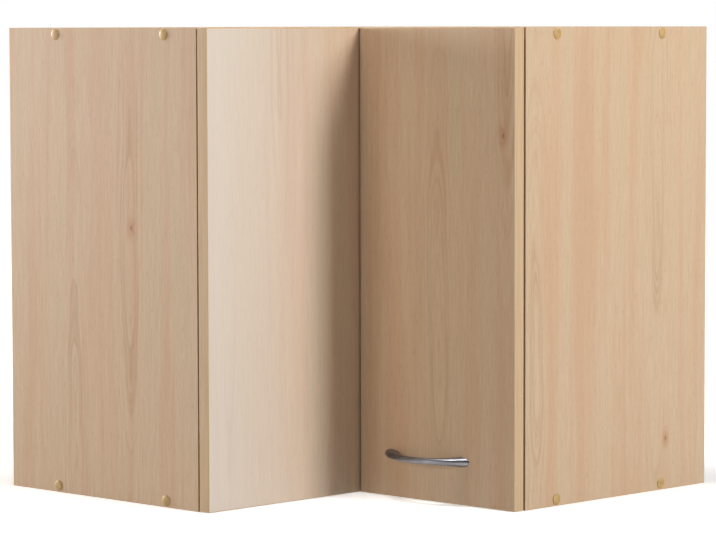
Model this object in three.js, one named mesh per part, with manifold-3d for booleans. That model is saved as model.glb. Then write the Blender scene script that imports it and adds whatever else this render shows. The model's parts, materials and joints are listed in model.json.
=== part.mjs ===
// L-shaped corner wall cabinet for a kitchen, 600 x 600 mm in plan.
// One wing carries a hinged door, the other a fixed front panel.
//
// Millimetres, +Z up. The origin is the centre of the plan square, on the underside.
// The rear wall is at +Y and the left wall at -X, so the door faces -Y
// and the fixed front panel faces +X. They meet in the inner corner.

import * as THREE from 'three';
import { mergeVertices } from 'three/addons/utils/BufferGeometryUtils.js';
import Module from 'manifold-3d';

const wasm = await Module();
wasm.setup();

// ---------------------------------------------------------------- driving dimensions

const wallLength = 600;          // the cabinet's length along each wall
const cabinetHeight = 560;
const bodyDepth = 332;           // a side panel, from the wall to its front edge
const boardThickness = 16;       // side panels, top, bottom, shelf and corner board
const frontThickness = 16;       // door and fixed front panel
const frontReveal = 0.5;         // the fronts stop this far short of the carcass, above and below
const fixedFrontGap = 2;         // behind the fixed front panel, one bracket leg wide
const doorGap = 3;               // behind the closed door
const innerCornerGap = 2;        // between the door's inner edge and the fixed front panel
const fixedFrontEndGap = 1;      // from the fixed front panel's end to the other wing's front edge
const edgeRounding = 0.8;        // on the edges of both fronts
const seat = 0.3;                // clearance of a piece in its hole or on its seat

const backInset = 12;            // the thin back stands this far off the wall
const backThickness = 3;
const grooveDepth = 7;
const grooveEndGap = 0.6;        // between a back panel's edge and the groove's bottom
const cornerBoardWidth = 100;
const notchWidth = 34;           // cut-out in a back panel for the wall hook, from the side panel
const notchHeight = 62;          // from the top panel down

const screwRearInset = 85;       // connecting screws, from the wall
const screwFrontInset = 55;      // and from the side panel's front edge
const screwLength = 50;
const screwHeadRadius = 5;
const screwHeadHeight = 4.5;
const screwHeadRim = 1.2;
const screwHeadSink = 0.4;       // below the panel's face
const screwShankRadius = 3.5;
const screwThreadRadius = 3;
const screwTipLength = 4;
const socketRadius = 2.3;
const socketDepth = 3;
const capRadius = 6.6;
const capRim = 0.4;
const capDome = 1.1;
const capStemRadius = 1.7;
const capStemLength = 2.6;
const cornerScrewInset = 26;     // from the ends of the corner board's top and bottom edges

const holePitch = 32;            // the row of shelf holes
const holeRowFront = 37;         // from a side panel's front edge
const holeRowRear = 60;          // from the wall
const holeRadius = 2.8;
const holeDepth = 9;
const lowestShelfHole = 168;
const shelfHoleCount = 7;
const shelfHoleInUse = 3;        // counted from the lowest, which is 0
const cornerHoleInset = 22;      // from the corner board's side edges
const shelfSideGap = 1;
const shelfFrontSetback = 6;
const pinPegLength = 8;
const pinFlangeRadius = 4.4;
const pinFlangeThickness = 1.4;
const pinTongueLength = 8.5;
const pinTongueWidth = 6.4;
const pinTongueHeight = 4.6;

const handleHoleSpacing = 128;
const handleInnerInset = 46;     // from the door's inner edge to the nearer handle screw
const handleHeight = 50.6;       // above the underside
const handleRise = 33;           // of the bar's centre line over the door
const handleCrownPower = 2;      // powers of the arch along the door and out of it:
const handleLegPower = 1.2;      // a low leg power makes the legs lean in
const handleFootHalfHeight = 5.3;
const handleFootHalfWidth = 4.8;
const handleBarHalfHeight = 4;
const handleBarHalfDepth = 3.8;
const handleFlarePower = 8;      // how close to its ends the bar flares out
const handleThreadRadius = 2;
const handleThreadDepth = 4;
const handleScrewHeadRadius = 4;
const handleScrewHeadHeight = 2.2;
const handleScrewTip = 0.6;      // chamfer at the screw's end
const crossSlotLength = 4;
const crossSlotWidth = 0.9;

const hingeInset = 100;          // hinges, from the cabinet's underside and from its top
const cupEdgeDistance = 22.5;    // from the door's outer edge to the cup's centre
const cupRadius = 17.4;
const cupWall = 0.8;
const cupSides = 24;             // facets round the cup and its recess
const cupDepth = 13;             // from the door's back face
const cupFlangeThickness = 1;
const cupFlangeRadius = 19.5;
const cupFlangeHalfLength = 31;
const cupFlangeHalfWidth = 9;
const cupFlangeCorner = 7;
const cupScrewSpacing = 48;
const cupScrewOffset = 6;        // from the cup's centre towards the door's middle
const cupScrewRadius = 1.9;
const cupScrewLength = 9;
const cupScrewHeadRadius = 3.4;
const cupScrewHeadHeight = 0.8;
const cupCornerBevel = 1.2;      // at the cup's floor
const pinRadius = 1.1;           // the hinge's riveted pins
const armEyeRadius = 3.1;
const cupEyeRadius = 1.7;        // of the links round the two cup pins
const sheetThickness = 1.2;      // of the arm and the links
const cheekGap = 0.4;            // between the nested cheeks of the links and the arm
const innerLinkHalfWidth = 4.8;
const armHalfWidth = innerLinkHalfWidth + cheekGap + sheetThickness;
const outerLinkHalfWidth = armHalfWidth + cheekGap + sheetThickness;
const armLength = 50;            // behind the carcass's front edge
const armRidge = 13.2;           // the arm's top, off the side panel
const armLip = 3.6;              // the arm's cheeks start this far off the side panel
const armNeck = 5;               // where the ridge ends and the cheeks narrow to the nose
const plateDistance = 37;        // mounting plate screws, from the front edge
const plateScrewSpacing = 32;
const plateScrewRadius = 2.5;
const plateScrewLength = 10;
const plateScrewHeadRadius = 4.6;
const plateScrewHeadHeight = 1.6;
const plateThickness = 2;
const plateHalfLength = 19;
const plateHalfWidth = 24;
const plateWingHalfLength = 7.5;
const plateWingCorner = 4;
const plateSpineCorner = 2;
const armScrewPlaces = [9, 31];  // from the arm's rear end
const armScrewRadius = 2.2;
const armScrewReach = 2;         // below the arm's ridge
const armScrewHeadRadius = 3.6;
const armScrewHeadHeight = 1.8;
const slotWidth = 1;             // of the screwdriver slots
const slotDepth = 1;

// The hinge's four pins in plan: x into the cabinet from the side panel's inner face,
// y out of the cabinet from its front edge. Two sit on the arm and two in the cup.
// Both links are cranked, so that they reach over the cup's rim when the door is open.
const armOuterPin = new THREE.Vector2(17, -2.4);
const armInnerPin = new THREE.Vector2(14.88, 8.8);
const cupOuterPin = new THREE.Vector2(-5.9, 7);
const cupInnerPin = new THREE.Vector2(-5.9, 11.8);
const outerLinkBend = new THREE.Vector2(-1.5, 10.9);
const innerLinkBend = new THREE.Vector2(5.4, 13.5);
const outerBendRadius = 1.6;
const innerBendRadius = 1.3;

const bracketLeg = 28;
const bracketWidth = 16;
const bracketRib = 6;            // the pressed rib in the bracket's corner
const ribSink = 0.2;             // how far its foot runs into the two legs
const bracketPlaces = [60, 215]; // from the fixed front panel's outer end
const bracketScrewRadius = 1.8;
const bracketScrewLength = 10;
const bracketScrewHeadRadius = 3.6;
const bracketScrewHeadHeight = 1.6;
const bracketScrewReach = 18;    // from the bracket's corner

const bumperRadius = 4.5;
const bumperInset = 12;          // from the door's inner edge
const bumperSetback = 7.5;       // from the door's top and bottom edges

const hangerHeight = 46;
const hangerWidth = 20;
const hangerDepth = 40;
const hangerWall = 1.5;
const hangerTopGap = 3;
const hangerDowelRadius = 5;
const hangerDowelLength = 11;
const hangerDowelInset = 11;     // from the housing's top and bottom
const hangerAdjusterRadius = 3.2;
const hangerAdjusterHead = 1.5;
const hangerAdjusterDrop = 12;   // below the hook's middle
const hookRaise = 4;             // of the hook's middle over the housing's
const hookThickness = 3;
const hookHeight = 30;
const hookNose = 9;
const hookWallGap = 2;
const hookNoseThickness = 2.5;
const hookNoseReach = 8;         // of the nose, below the face that rests on the wall rail
const hookThroat = 6;            // the wall rail's upper edge goes in here

// ---------------------------------------------------------------- places worked out from them

const half = wallLength / 2;
const wingFrontX = -half + bodyDepth;            // the front edge plane of the left wing
const wingFrontY = half - bodyDepth;             // the front edge plane of the right wing
const topUnderside = cabinetHeight - boardThickness;
const fixedBackX = wingFrontX + fixedFrontGap;
const fixedFaceX = fixedBackX + frontThickness;
const doorBackY = wingFrontY - doorGap;
const doorFaceY = doorBackY - frontThickness;
const doorInnerX = fixedFaceX + innerCornerGap;
const rearBackY = half - backInset - backThickness / 2;   // middle of the rear back panel
const leftBackX = -half + backInset + backThickness / 2;  // middle of the left back panel
const cornerBoardFront = rearBackY - boardThickness / 2;
const shelfHole = (index) => lowestShelfHole + index * holePitch;
const shelfUnderside = shelfHole(shelfHoleInUse) + holeRadius - seat;
const screwDepths = [screwRearInset, bodyDepth - screwFrontInset];
const joinHeights = [boardThickness / 2, cabinetHeight - boardThickness / 2];
const hingeHeights = [hingeInset, cabinetHeight - hingeInset];
const handleCentreX = doorInnerX + handleInnerInset + handleHoleSpacing / 2;

// A wing's own coordinates: depth from the wall it hangs on, inset from its outer end, height.
const leftWing = (depth, inset, z) => new THREE.Vector3(-half + depth, -half + inset, z);
const rightWing = (depth, inset, z) => new THREE.Vector3(half - inset, half - depth, z);

// ---------------------------------------------------------------- solids and how they are cut

function solidOf(geometry) {
  const bare = geometry.clone();
  bare.deleteAttribute('normal');
  bare.deleteAttribute('uv');
  const merged = mergeVertices(bare, 1e-4);
  const index = merged.index.array;
  const corners = [];
  for (let i = 0; i < index.length; i += 3) {
    const [a, b, c] = [index[i], index[i + 1], index[i + 2]];
    if (a !== b && b !== c && c !== a) corners.push(a, b, c);
  }
  const mesh = new wasm.Mesh({
    numProp: 3,
    vertProperties: new Float32Array(merged.attributes.position.array),
    triVerts: new Uint32Array(corners),
  });
  return new wasm.Manifold(mesh);
}

function geometryOf(solid) {
  const mesh = solid.getMesh();
  const geometry = new THREE.BufferGeometry();
  geometry.setAttribute('position', new THREE.BufferAttribute(mesh.vertProperties, 3));
  geometry.setIndex(new THREE.BufferAttribute(mesh.triVerts, 1));
  geometry.computeVertexNormals();
  return geometry;
}

const joined = (...solids) => solids.reduce((sum, solid) => sum.add(solid));
const cut = (body, ...tools) => tools.reduce((rest, tool) => rest.subtract(tool), body);

// A rectangular block between two opposite corners.
function block(a, b) {
  const size = new THREE.Vector3().subVectors(b, a);
  const middle = new THREE.Vector3().addVectors(a, b).multiplyScalar(0.5);
  const box = new THREE.BoxGeometry(Math.abs(size.x), Math.abs(size.y), Math.abs(size.z));
  return solidOf(box.translate(middle.x, middle.y, middle.z));
}

const at = (x, y, z) => new THREE.Vector3(x, y, z);

// Turns a geometry whose own axis is +Y so that it runs from start in the given direction.
function aimed(geometry, start, direction) {
  const unit = direction.clone().normalize();
  const turn = new THREE.Quaternion().setFromUnitVectors(at(0, 1, 0), unit);
  return geometry.applyQuaternion(turn).translate(start.x, start.y, start.z);
}

// A round rod or, as a cutting tool, a round hole between two points.
function rod(start, end, radius, sides = 10) {
  const axis = new THREE.Vector3().subVectors(end, start);
  const geometry = new THREE.CylinderGeometry(radius, radius, axis.length(), sides);
  return solidOf(aimed(geometry.translate(0, axis.length() / 2, 0), start, axis));
}

// A turned piece: profile points [radius, height] from the axis back to the axis, upwards.
function turned(profile, start, direction, sides = 16) {
  const points = profile.map(([radius, height]) => new THREE.Vector2(radius, height));
  return solidOf(aimed(new THREE.LatheGeometry(points, sides), start, direction));
}

// A plan outline, or a shape with holes, standing from z0 to z1.
function upright(shape, z0, z1, curveSegments = 3) {
  const options = { depth: z1 - z0, bevelEnabled: false, curveSegments };
  return solidOf(new THREE.ExtrudeGeometry(shape, options).translate(0, 0, z0));
}

// An outline drawn on X and Z, running along Y from y0 to y1.
function sideways(shape, y0, y1) {
  const geometry = new THREE.ExtrudeGeometry(shape, { depth: y1 - y0, bevelEnabled: false });
  return solidOf(geometry.rotateX(Math.PI / 2).translate(0, y1, 0));
}

function shapeOf(points) {
  return new THREE.Shape(points.map(([x, y]) => new THREE.Vector2(x, y)));
}

function roundedRectangle(halfWidth, halfLength, corner) {
  const shape = new THREE.Shape();
  const x = halfWidth - corner;
  const y = halfLength - corner;
  shape.absarc(x, y, corner, 0, Math.PI / 2);
  shape.absarc(-x, y, corner, Math.PI / 2, Math.PI);
  shape.absarc(-x, -y, corner, Math.PI, Math.PI * 1.5);
  shape.absarc(x, -y, corner, Math.PI * 1.5, Math.PI * 2);
  return shape;
}

// The outline of a bar with a round eye at each end, as a belt round two circles.
function linkOutline(from, to, fromRadius, toRadius) {
  const line = new THREE.Vector2().subVectors(to, from);
  const lean = Math.acos((fromRadius - toRadius) / line.length());
  const heading = Math.atan2(line.y, line.x);
  const shape = new THREE.Shape();
  shape.absarc(from.x, from.y, fromRadius, heading + lean, heading - lean + 2 * Math.PI);
  shape.absarc(to.x, to.y, toRadius, heading - lean, heading + lean);
  return shape;
}

// ---------------------------------------------------------------- materials

const beech = new THREE.MeshStandardMaterial({ color: 0xcfae88, roughness: 0.45, metalness: 0 });
const beechFront = new THREE.MeshStandardMaterial({ color: 0xc6a27c, roughness: 0.42, metalness: 0 });
const hardboard = new THREE.MeshStandardMaterial({ color: 0xc9a983, roughness: 0.7, metalness: 0 });
const satinNickel = new THREE.MeshStandardMaterial({ color: 0x9a9793, roughness: 0.3, metalness: 1 });
const nickelPlate = new THREE.MeshStandardMaterial({ color: 0xc4c2bd, roughness: 0.25, metalness: 1 });
const zincPlate = new THREE.MeshStandardMaterial({ color: 0xb4b5b2, roughness: 0.4, metalness: 1 });
const capPlastic = new THREE.MeshStandardMaterial({ color: 0xd3b078, roughness: 0.4, metalness: 0 });
const clearRubber = new THREE.MeshStandardMaterial({ color: 0xd9d6cf, roughness: 0.35, metalness: 0 });
const greyPlastic = new THREE.MeshStandardMaterial({ color: 0xb9b7b2, roughness: 0.5, metalness: 0 });

const cabinet = new THREE.Group();

function place(name, solid, material, parent = cabinet) {
  const mesh = new THREE.Mesh(geometryOf(solid), material);
  mesh.name = name;
  parent.add(mesh);
}

// ---------------------------------------------------------------- holes shared by two pieces

// Through a side panel, with the screw head's seat sunk from its outer face.
function screwHole(wing, depth, z) {
  const clearance = screwShankRadius + seat;
  const headSeat = screwHeadSink + screwHeadHeight + seat;
  return joined(
    rod(wing(depth, -1, z), wing(depth, boardThickness + 1, z), clearance),
    rod(wing(depth, -1, z), wing(depth, headSeat, z), screwHeadRadius + seat),
  );
}

function screwPilot(wing, depth, z) {
  const end = screwHeadSink + screwLength + 1;
  return rod(wing(depth, boardThickness - 1, z), wing(depth, end, z), screwThreadRadius + seat);
}

const slotHalf = backThickness / 2 + seat;

// ---------------------------------------------------------------- carcass boards

function sidePanel(wing, extraHoles) {
  const frontRow = bodyDepth - holeRowFront;
  const tools = [];
  const slotMiddle = backInset + backThickness / 2;
  tools.push(block(
    wing(slotMiddle - slotHalf, boardThickness - grooveDepth, -1),
    wing(slotMiddle + slotHalf, boardThickness + 1, cabinetHeight + 1),
  ));
  for (const depth of [frontRow, holeRowRear]) {
    for (let index = 0; index < shelfHoleCount; index++) {
      const z = shelfHole(index);
      const bottom = wing(depth, boardThickness - holeDepth, z);
      tools.push(rod(bottom, wing(depth, boardThickness + 1, z), holeRadius, 8));
    }
  }
  for (const depth of screwDepths) {
    for (const z of joinHeights) tools.push(screwHole(wing, depth, z));
  }
  for (const z of hangerDowelHeights) {
    const depth = hangerMiddle;
    const bottom = wing(depth, boardThickness - hangerDowelLength - seat, z);
    tools.push(rod(bottom, wing(depth, boardThickness + 1, z), hangerDowelRadius + seat));
  }
  const board = block(wing(0, 0, 0), wing(bodyDepth, boardThickness, cabinetHeight));
  return cut(board, ...tools, ...extraHoles);
}

function hingePlateHoles() {
  const holes = [];
  const depth = bodyDepth - plateDistance;
  for (const height of hingeHeights) {
    for (const side of [-1, 1]) {
      const z = height + side * plateScrewSpacing / 2;
      const bottom = rightWing(depth, boardThickness - plateScrewLength - seat, z);
      const mouth = rightWing(depth, boardThickness + 1, z);
      holes.push(rod(bottom, mouth, plateScrewRadius + seat, 8));
    }
  }
  return holes;
}

// The L-shaped outline of a board, drawn in from the carcass's own outline by a gap on each side.
function wingsOutline(wallSide, rearSide, endGap, frontSetback) {
  const leftX = -half + wallSide;
  const rearY = half - rearSide;
  const leftEnd = -half + boardThickness + endGap;
  const rightEnd = half - boardThickness - endGap;
  const frontX = wingFrontX - frontSetback;
  const frontY = wingFrontY + frontSetback;
  return shapeOf([
    [leftX, leftEnd], [frontX, leftEnd], [frontX, frontY],
    [rightEnd, frontY], [rightEnd, rearY], [leftX, rearY],
  ]);
}

// Top and bottom panels. The inner face holds the grooves for the backs.
function wingsPanel(z0, innerFace, inward) {
  const grooveFloor = innerFace - inward * grooveDepth;
  const open = innerFace + inward;
  const middleZ = z0 + boardThickness / 2;
  const leftGrooveEnd = cornerBoardFront + grooveDepth;
  const rearGrooveStart = -half + cornerBoardWidth - grooveDepth;
  const tools = [
    block(at(leftBackX - slotHalf, -half, grooveFloor), at(leftBackX + slotHalf, leftGrooveEnd, open)),
    block(at(rearGrooveStart, rearBackY - slotHalf, grooveFloor), at(half, rearBackY + slotHalf, open)),
  ];
  for (const wing of [leftWing, rightWing]) {
    for (const depth of screwDepths) tools.push(screwPilot(wing, depth, middleZ));
  }
  for (const x of cornerScrewPlaces) tools.push(cornerScrewHole(x, z0, inward));
  for (const [x, y] of bracketScrewPlaces()) {
    const z = innerFace - inward * (bracketScrewLength + seat);
    tools.push(rod(at(x, y, z), at(x, y, open), bracketScrewRadius + seat, 8));
  }
  return cut(upright(wingsOutline(0, 0, 0, 0), z0, z0 + boardThickness), ...tools);
}

const cornerScrewPlaces = [
  -half + cornerScrewInset,
  -half + cornerBoardWidth - cornerScrewInset,
];

// Through the top or bottom panel, with the head's seat in its outer face.
function cornerScrewHole(x, z0, inward) {
  const outer = inward > 0 ? z0 : z0 + boardThickness;
  const headSeat = screwHeadSink + screwHeadHeight + seat;
  return joined(
    rod(at(x, rearBackY, outer - inward), at(x, rearBackY, outer + inward * (boardThickness + 1)),
      screwShankRadius + seat),
    rod(at(x, rearBackY, outer - inward), at(x, rearBackY, outer + inward * headSeat),
      screwHeadRadius + seat),
  );
}

// Stands between top and bottom where the two walls meet, and holds both backs.
function cornerBoard() {
  const rightEdge = -half + cornerBoardWidth;
  const rear = cornerBoardFront + boardThickness;
  const leftGrooveEnd = cornerBoardFront + grooveDepth;
  const groove = (x0, x1, y0, y1) => block(at(x0, y0, 0), at(x1, y1, cabinetHeight));
  const tools = [
    groove(leftBackX - slotHalf, leftBackX + slotHalf, cornerBoardFront - 1, leftGrooveEnd),
    groove(rightEdge - grooveDepth, rightEdge + 1, rearBackY - slotHalf, rearBackY + slotHalf),
  ];
  for (const x of cornerHolePlaces) {
    for (let index = 0; index < shelfHoleCount; index++) {
      const z = shelfHole(index);
      const mouth = at(x, cornerBoardFront - 1, z);
      tools.push(rod(mouth, at(x, cornerBoardFront + holeDepth, z), holeRadius, 8));
    }
  }
  for (const x of cornerScrewPlaces) {
    const reach = screwHeadSink + screwLength + 1;
    for (const [from, to] of [[boardThickness - 1, reach], [topUnderside + 1, cabinetHeight - reach]]) {
      tools.push(rod(at(x, rearBackY, from), at(x, rearBackY, to), screwThreadRadius + seat));
    }
  }
  const board = block(
    at(-half, cornerBoardFront, boardThickness),
    at(rightEdge, rear, topUnderside),
  );
  return cut(board, ...tools);
}

const cornerHolePlaces = [
  -half + backInset + backThickness + cornerHoleInset,
  -half + cornerBoardWidth - cornerHoleInset,
];

const backBottom = boardThickness - grooveDepth + grooveEndGap;
const backTop = topUnderside + grooveDepth - grooveEndGap;
const backEnd = boardThickness - grooveDepth + grooveEndGap;   // from a wing's outer end

function leftBackPanel() {
  const x = [leftBackX - backThickness / 2, leftBackX + backThickness / 2];
  const panel = block(
    at(x[0], -half + backEnd, backBottom),
    at(x[1], cornerBoardFront + grooveDepth - grooveEndGap, backTop),
  );
  const notch = block(
    at(x[0] - 1, -half, topUnderside - notchHeight),
    at(x[1] + 1, -half + boardThickness + notchWidth, cabinetHeight),
  );
  return cut(panel, notch);
}

function rearBackPanel() {
  const y = [rearBackY - backThickness / 2, rearBackY + backThickness / 2];
  const panel = block(
    at(-half + cornerBoardWidth - grooveDepth + grooveEndGap, y[0], backBottom),
    at(half - backEnd, y[1], backTop),
  );
  const notch = block(
    at(half - boardThickness - notchWidth, y[0] - 1, topUnderside - notchHeight),
    at(half, y[1] + 1, cabinetHeight),
  );
  return cut(panel, notch);
}

function shelf() {
  const wallSide = backInset + backThickness + shelfSideGap;
  const rearSide = half - cornerBoardFront + shelfSideGap;
  const outline = wingsOutline(wallSide, rearSide, shelfSideGap, shelfFrontSetback);
  return upright(outline, shelfUnderside, shelfUnderside + boardThickness);
}

// ---------------------------------------------------------------- fasteners and small parts

function connectingScrew(start, inward) {
  const shankEnd = boardThickness - screwHeadSink - seat;
  const screw = turned([
    [0, 0], [screwHeadRadius, 0], [screwHeadRadius, screwHeadRim],
    [screwShankRadius, screwHeadHeight], [screwShankRadius, shankEnd - 1],
    [screwThreadRadius, shankEnd], [screwThreadRadius, screwLength - screwTipLength],
    [0, screwLength],
  ], start, inward, 8);
  const socketEnd = start.clone().addScaledVector(inward, socketDepth);
  return cut(screw, rod(start.clone().addScaledVector(inward, -1), socketEnd, socketRadius, 6));
}

function coverCap(start, outward) {
  const dome = new THREE.EllipseCurve(0, capRim, capRadius, capDome, 0, Math.PI / 2);
  const profile = [
    [0, -capStemLength], [capStemRadius, -capStemLength], [capStemRadius, 0], [capRadius, 0],
  ];
  for (const point of dome.getPoints(3)) profile.push([point.x, point.y]);
  profile[profile.length - 1][0] = 0;
  return turned(profile, start, outward);
}

// A peg with a round flange, cut off level with the shelf's underside, and a tongue below it.
function shelfPin(hole, intoRoom) {
  const across = at(-intoRoom.y, intoRoom.x, 0);
  const place = (distance, sideways, z) => hole.clone()
    .addScaledVector(intoRoom, distance).addScaledVector(across, sideways).add(at(0, 0, z));
  const top = holeRadius - seat;
  const peg = rod(place(-pinPegLength, 0, 0), place(pinFlangeThickness / 2, 0, 0), top, 8);
  const flange = rod(hole, place(pinFlangeThickness, 0, 0), pinFlangeRadius);
  const tongue = block(
    place(pinFlangeThickness / 2, pinTongueWidth / 2, top),
    place(pinFlangeThickness + pinTongueLength, -pinTongueWidth / 2, top - pinTongueHeight),
  );
  const above = block(
    place(-1, -pinFlangeRadius - 1, top),
    place(pinFlangeThickness + 1, pinFlangeRadius + 1, top + pinFlangeRadius),
  );
  return joined(peg, cut(flange, above), tongue);
}

function cornerBracket(y, seatZ, inward) {
  const leg = (depthX, depthZ) => block(
    at(fixedBackX - depthX, y - bracketWidth / 2, seatZ),
    at(fixedBackX, y + bracketWidth / 2, seatZ + inward * depthZ),
  );
  const flatLeg = leg(bracketLeg, fixedFrontGap);
  const frontLeg = leg(fixedFrontGap, bracketLeg);
  const ribX = fixedBackX - fixedFrontGap + ribSink;
  const ribZ = seatZ + inward * (fixedFrontGap - ribSink);
  const ribOutline = shapeOf([
    [ribX, ribZ], [ribX - bracketRib, ribZ], [ribX, ribZ + inward * bracketRib],
  ]);
  const rib = sideways(ribOutline, y - fixedFrontGap / 2, y + fixedFrontGap / 2);
  const headTop = fixedFrontGap + bracketScrewHeadHeight;
  // Both screws are drawn by their height over the board that they hold.
  const downScrew = (height) => at(fixedBackX - bracketScrewReach, y, seatZ + inward * height);
  const frontScrew = (height) => at(fixedBackX - height, y, seatZ + inward * bracketScrewReach);
  const screws = [downScrew, frontScrew].map((over) => joined(
    rod(over(-bracketScrewLength), over(fixedFrontGap / 2), bracketScrewRadius, 6),
    rod(over(fixedFrontGap / 2), over(headTop), bracketScrewHeadRadius),
  ));
  return joined(flatLeg, frontLeg, rib, ...screws);
}

function bracketScrewPlaces() {
  return bracketPlaces.map((place) => [fixedBackX - bracketScrewReach, -half + place]);
}

function bumper(x, z) {
  const height = doorGap - seat;
  const rim = height / 2;
  const dome = new THREE.EllipseCurve(0, rim, bumperRadius, height - rim, 0, Math.PI / 2);
  const profile = [[0, 0], [bumperRadius, 0]];
  for (const point of dome.getPoints(3)) profile.push([point.x, point.y]);
  profile[profile.length - 1][0] = 0;
  return turned(profile, at(x, doorBackY, z), at(0, 1, 0), 10);
}

// ---------------------------------------------------------------- fronts

// A board with eased edges, drawn as its face from (0, 0) to (width, height), standing on XZ.
function easedBoard(width, height, thickness) {
  const outline = shapeOf([[0, 0], [width, 0], [width, height], [0, height]]);
  const geometry = new THREE.ExtrudeGeometry(outline, {
    depth: thickness - 2 * edgeRounding,
    bevelSize: edgeRounding,
    bevelThickness: edgeRounding,
    bevelOffset: -edgeRounding,
    bevelSegments: 2,
  });
  return geometry.translate(0, 0, edgeRounding).rotateX(Math.PI / 2);
}

const frontHeight = cabinetHeight - 2 * frontReveal;

function fixedFront() {
  const width = half + wingFrontY - fixedFrontEndGap;
  const board = easedBoard(width, frontHeight, frontThickness).rotateZ(Math.PI / 2);
  const tools = [];
  for (const [, y] of bracketScrewPlaces()) {
    for (const z of [boardThickness + bracketScrewReach, topUnderside - bracketScrewReach]) {
      const end = at(fixedBackX + bracketScrewLength + seat, y, z);
      tools.push(rod(at(fixedBackX - 1, y, z), end, bracketScrewRadius + seat, 8));
    }
  }
  return cut(solidOf(board.translate(fixedBackX, -half, frontReveal)), ...tools);
}

const handlePlaces = [-1, 1].map((side) => handleCentreX + side * handleHoleSpacing / 2);
const cupCentreX = half - cupEdgeDistance;

function door() {
  const board = easedBoard(half - doorInnerX, frontHeight, frontThickness);
  const tools = [];
  for (const x of handlePlaces) {
    const [front, back] = [doorFaceY - 1, doorBackY + 1].map((y) => at(x, y, handleHeight));
    tools.push(rod(front, back, handleThreadRadius + seat, 10));
  }
  for (const z of hingeHeights) {
    const recess = at(cupCentreX, doorBackY - cupDepth - seat, z);
    tools.push(rod(at(cupCentreX, doorBackY + 1, z), recess, cupRadius + seat, cupSides));
    for (const side of [-1, 1]) {
      const x = cupCentreX - cupScrewOffset;
      const screwZ = z + side * cupScrewSpacing / 2;
      const end = at(x, doorBackY - cupScrewLength - seat, screwZ);
      tools.push(rod(at(x, doorBackY + 1, screwZ), end, cupScrewRadius + seat, 8));
    }
  }
  return cut(solidOf(board.translate(doorInnerX, doorBackY, frontReveal)), ...tools);
}

// The bow's bar, lofted along an arch that stands out of the door, flared at its feet.
function handleBow() {
  const steps = 26;
  const around = 12;
  const span = handleHoleSpacing / 2;
  const arch = (turn) => {
    const reach = Math.abs(Math.cos(turn)) ** (2 / handleCrownPower);
    const rise = Math.abs(Math.sin(turn)) ** (2 / handleLegPower);
    return new THREE.Vector2(-Math.sign(Math.cos(turn)) * span * reach, handleRise * rise);
  };
  const nudge = 0.02;            // radians along the arch, to find its direction
  const positions = [];
  for (let step = 0; step <= steps; step++) {
    const turn = (Math.PI * step) / steps;
    const middle = arch(turn);
    const before = arch(Math.max(0, turn - nudge));
    const after = arch(Math.min(Math.PI, turn + nudge));
    const run = new THREE.Vector2().subVectors(after, before).normalize();
    const flare = Math.abs(Math.cos(turn)) ** handleFlarePower;
    const halfDepth = handleBarHalfDepth + flare * (handleFootHalfWidth - handleBarHalfDepth);
    const halfHeight = handleBarHalfHeight + flare * (handleFootHalfHeight - handleBarHalfHeight);
    for (let k = 0; k < around; k++) {
      const angle = (2 * Math.PI * k) / around;
      const side = halfDepth * Math.cos(angle);
      positions.push(
        middle.x - run.y * side, -(middle.y + run.x * side), halfHeight * Math.sin(angle),
      );
    }
  }
  const index = [];
  for (let step = 0; step < steps; step++) {
    for (let k = 0; k < around; k++) {
      const a = step * around + k;
      const b = step * around + ((k + 1) % around);
      index.push(a, a + around, b, b, a + around, b + around);
    }
  }
  for (let k = 1; k < around - 1; k++) {
    const last = steps * around;
    index.push(0, k, k + 1, last, last + k + 1, last + k);
  }
  const geometry = new THREE.BufferGeometry();
  geometry.setAttribute('position', new THREE.BufferAttribute(new Float32Array(positions), 3));
  geometry.setIndex(index);
  geometry.translate(handleCentreX, doorFaceY, handleHeight);
  const tools = handlePlaces.map((x) => rod(
    at(x, doorFaceY + 1, handleHeight),
    at(x, doorFaceY - handleThreadDepth, handleHeight),
    handleThreadRadius + seat, 10,
  ));
  const behind = block(at(0, doorFaceY, 0), at(half, doorBackY, 2 * handleHeight));
  return cut(solidOf(geometry), behind, ...tools);
}

function handleScrew(x) {
  const start = at(x, doorBackY + handleScrewHeadHeight, handleHeight);
  const length = handleScrewHeadHeight + frontThickness + handleThreadDepth - 2 * seat;
  const screw = turned([
    [0, 0], [handleScrewHeadRadius * 0.7, 0], [handleScrewHeadRadius, handleScrewHeadHeight / 2],
    [handleScrewHeadRadius, handleScrewHeadHeight], [handleThreadRadius, handleScrewHeadHeight],
    [handleThreadRadius, length - handleScrewTip], [handleThreadRadius - handleScrewTip, length],
    [0, length],
  ], start, at(0, -1, 0), 8);
  const slot = (width, height) => block(
    at(x - width / 2, start.y - 1, handleHeight - height / 2),
    at(x + width / 2, start.y + 1, handleHeight + height / 2),
  );
  return cut(screw, slot(crossSlotLength, crossSlotWidth), slot(crossSlotWidth, crossSlotLength));
}

// ---------------------------------------------------------------- cup hinge
// Every piece is drawn in the plan coordinates of the four pins, centred on its own height,
// and stands in a group that is turned onto the right side panel's front edge.

const cupX = cupEdgeDistance - boardThickness;       // the cup's centre in those coordinates
const linkArmEyeRadius = armEyeRadius - 0.4;

const pinHole = (place) => rod(
  at(place.x, place.y, -cupRadius), at(place.x, place.y, cupRadius), pinRadius + seat,
);

function bothSides(outline, halfWidth) {
  return joined(
    upright(outline, halfWidth - sheetThickness, halfWidth),
    upright(outline, -halfWidth, sheetThickness - halfWidth),
  );
}

// Two flat cheeks that run from a wide eye on the arm, over the bend, to a small eye in the cup.
function crankedLink(start, bend, end, bendRadius, halfWidth) {
  return joined(
    bothSides(linkOutline(start, bend, linkArmEyeRadius, bendRadius), halfWidth),
    bothSides(linkOutline(bend, end, bendRadius, cupEyeRadius), halfWidth),
  );
}

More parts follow.
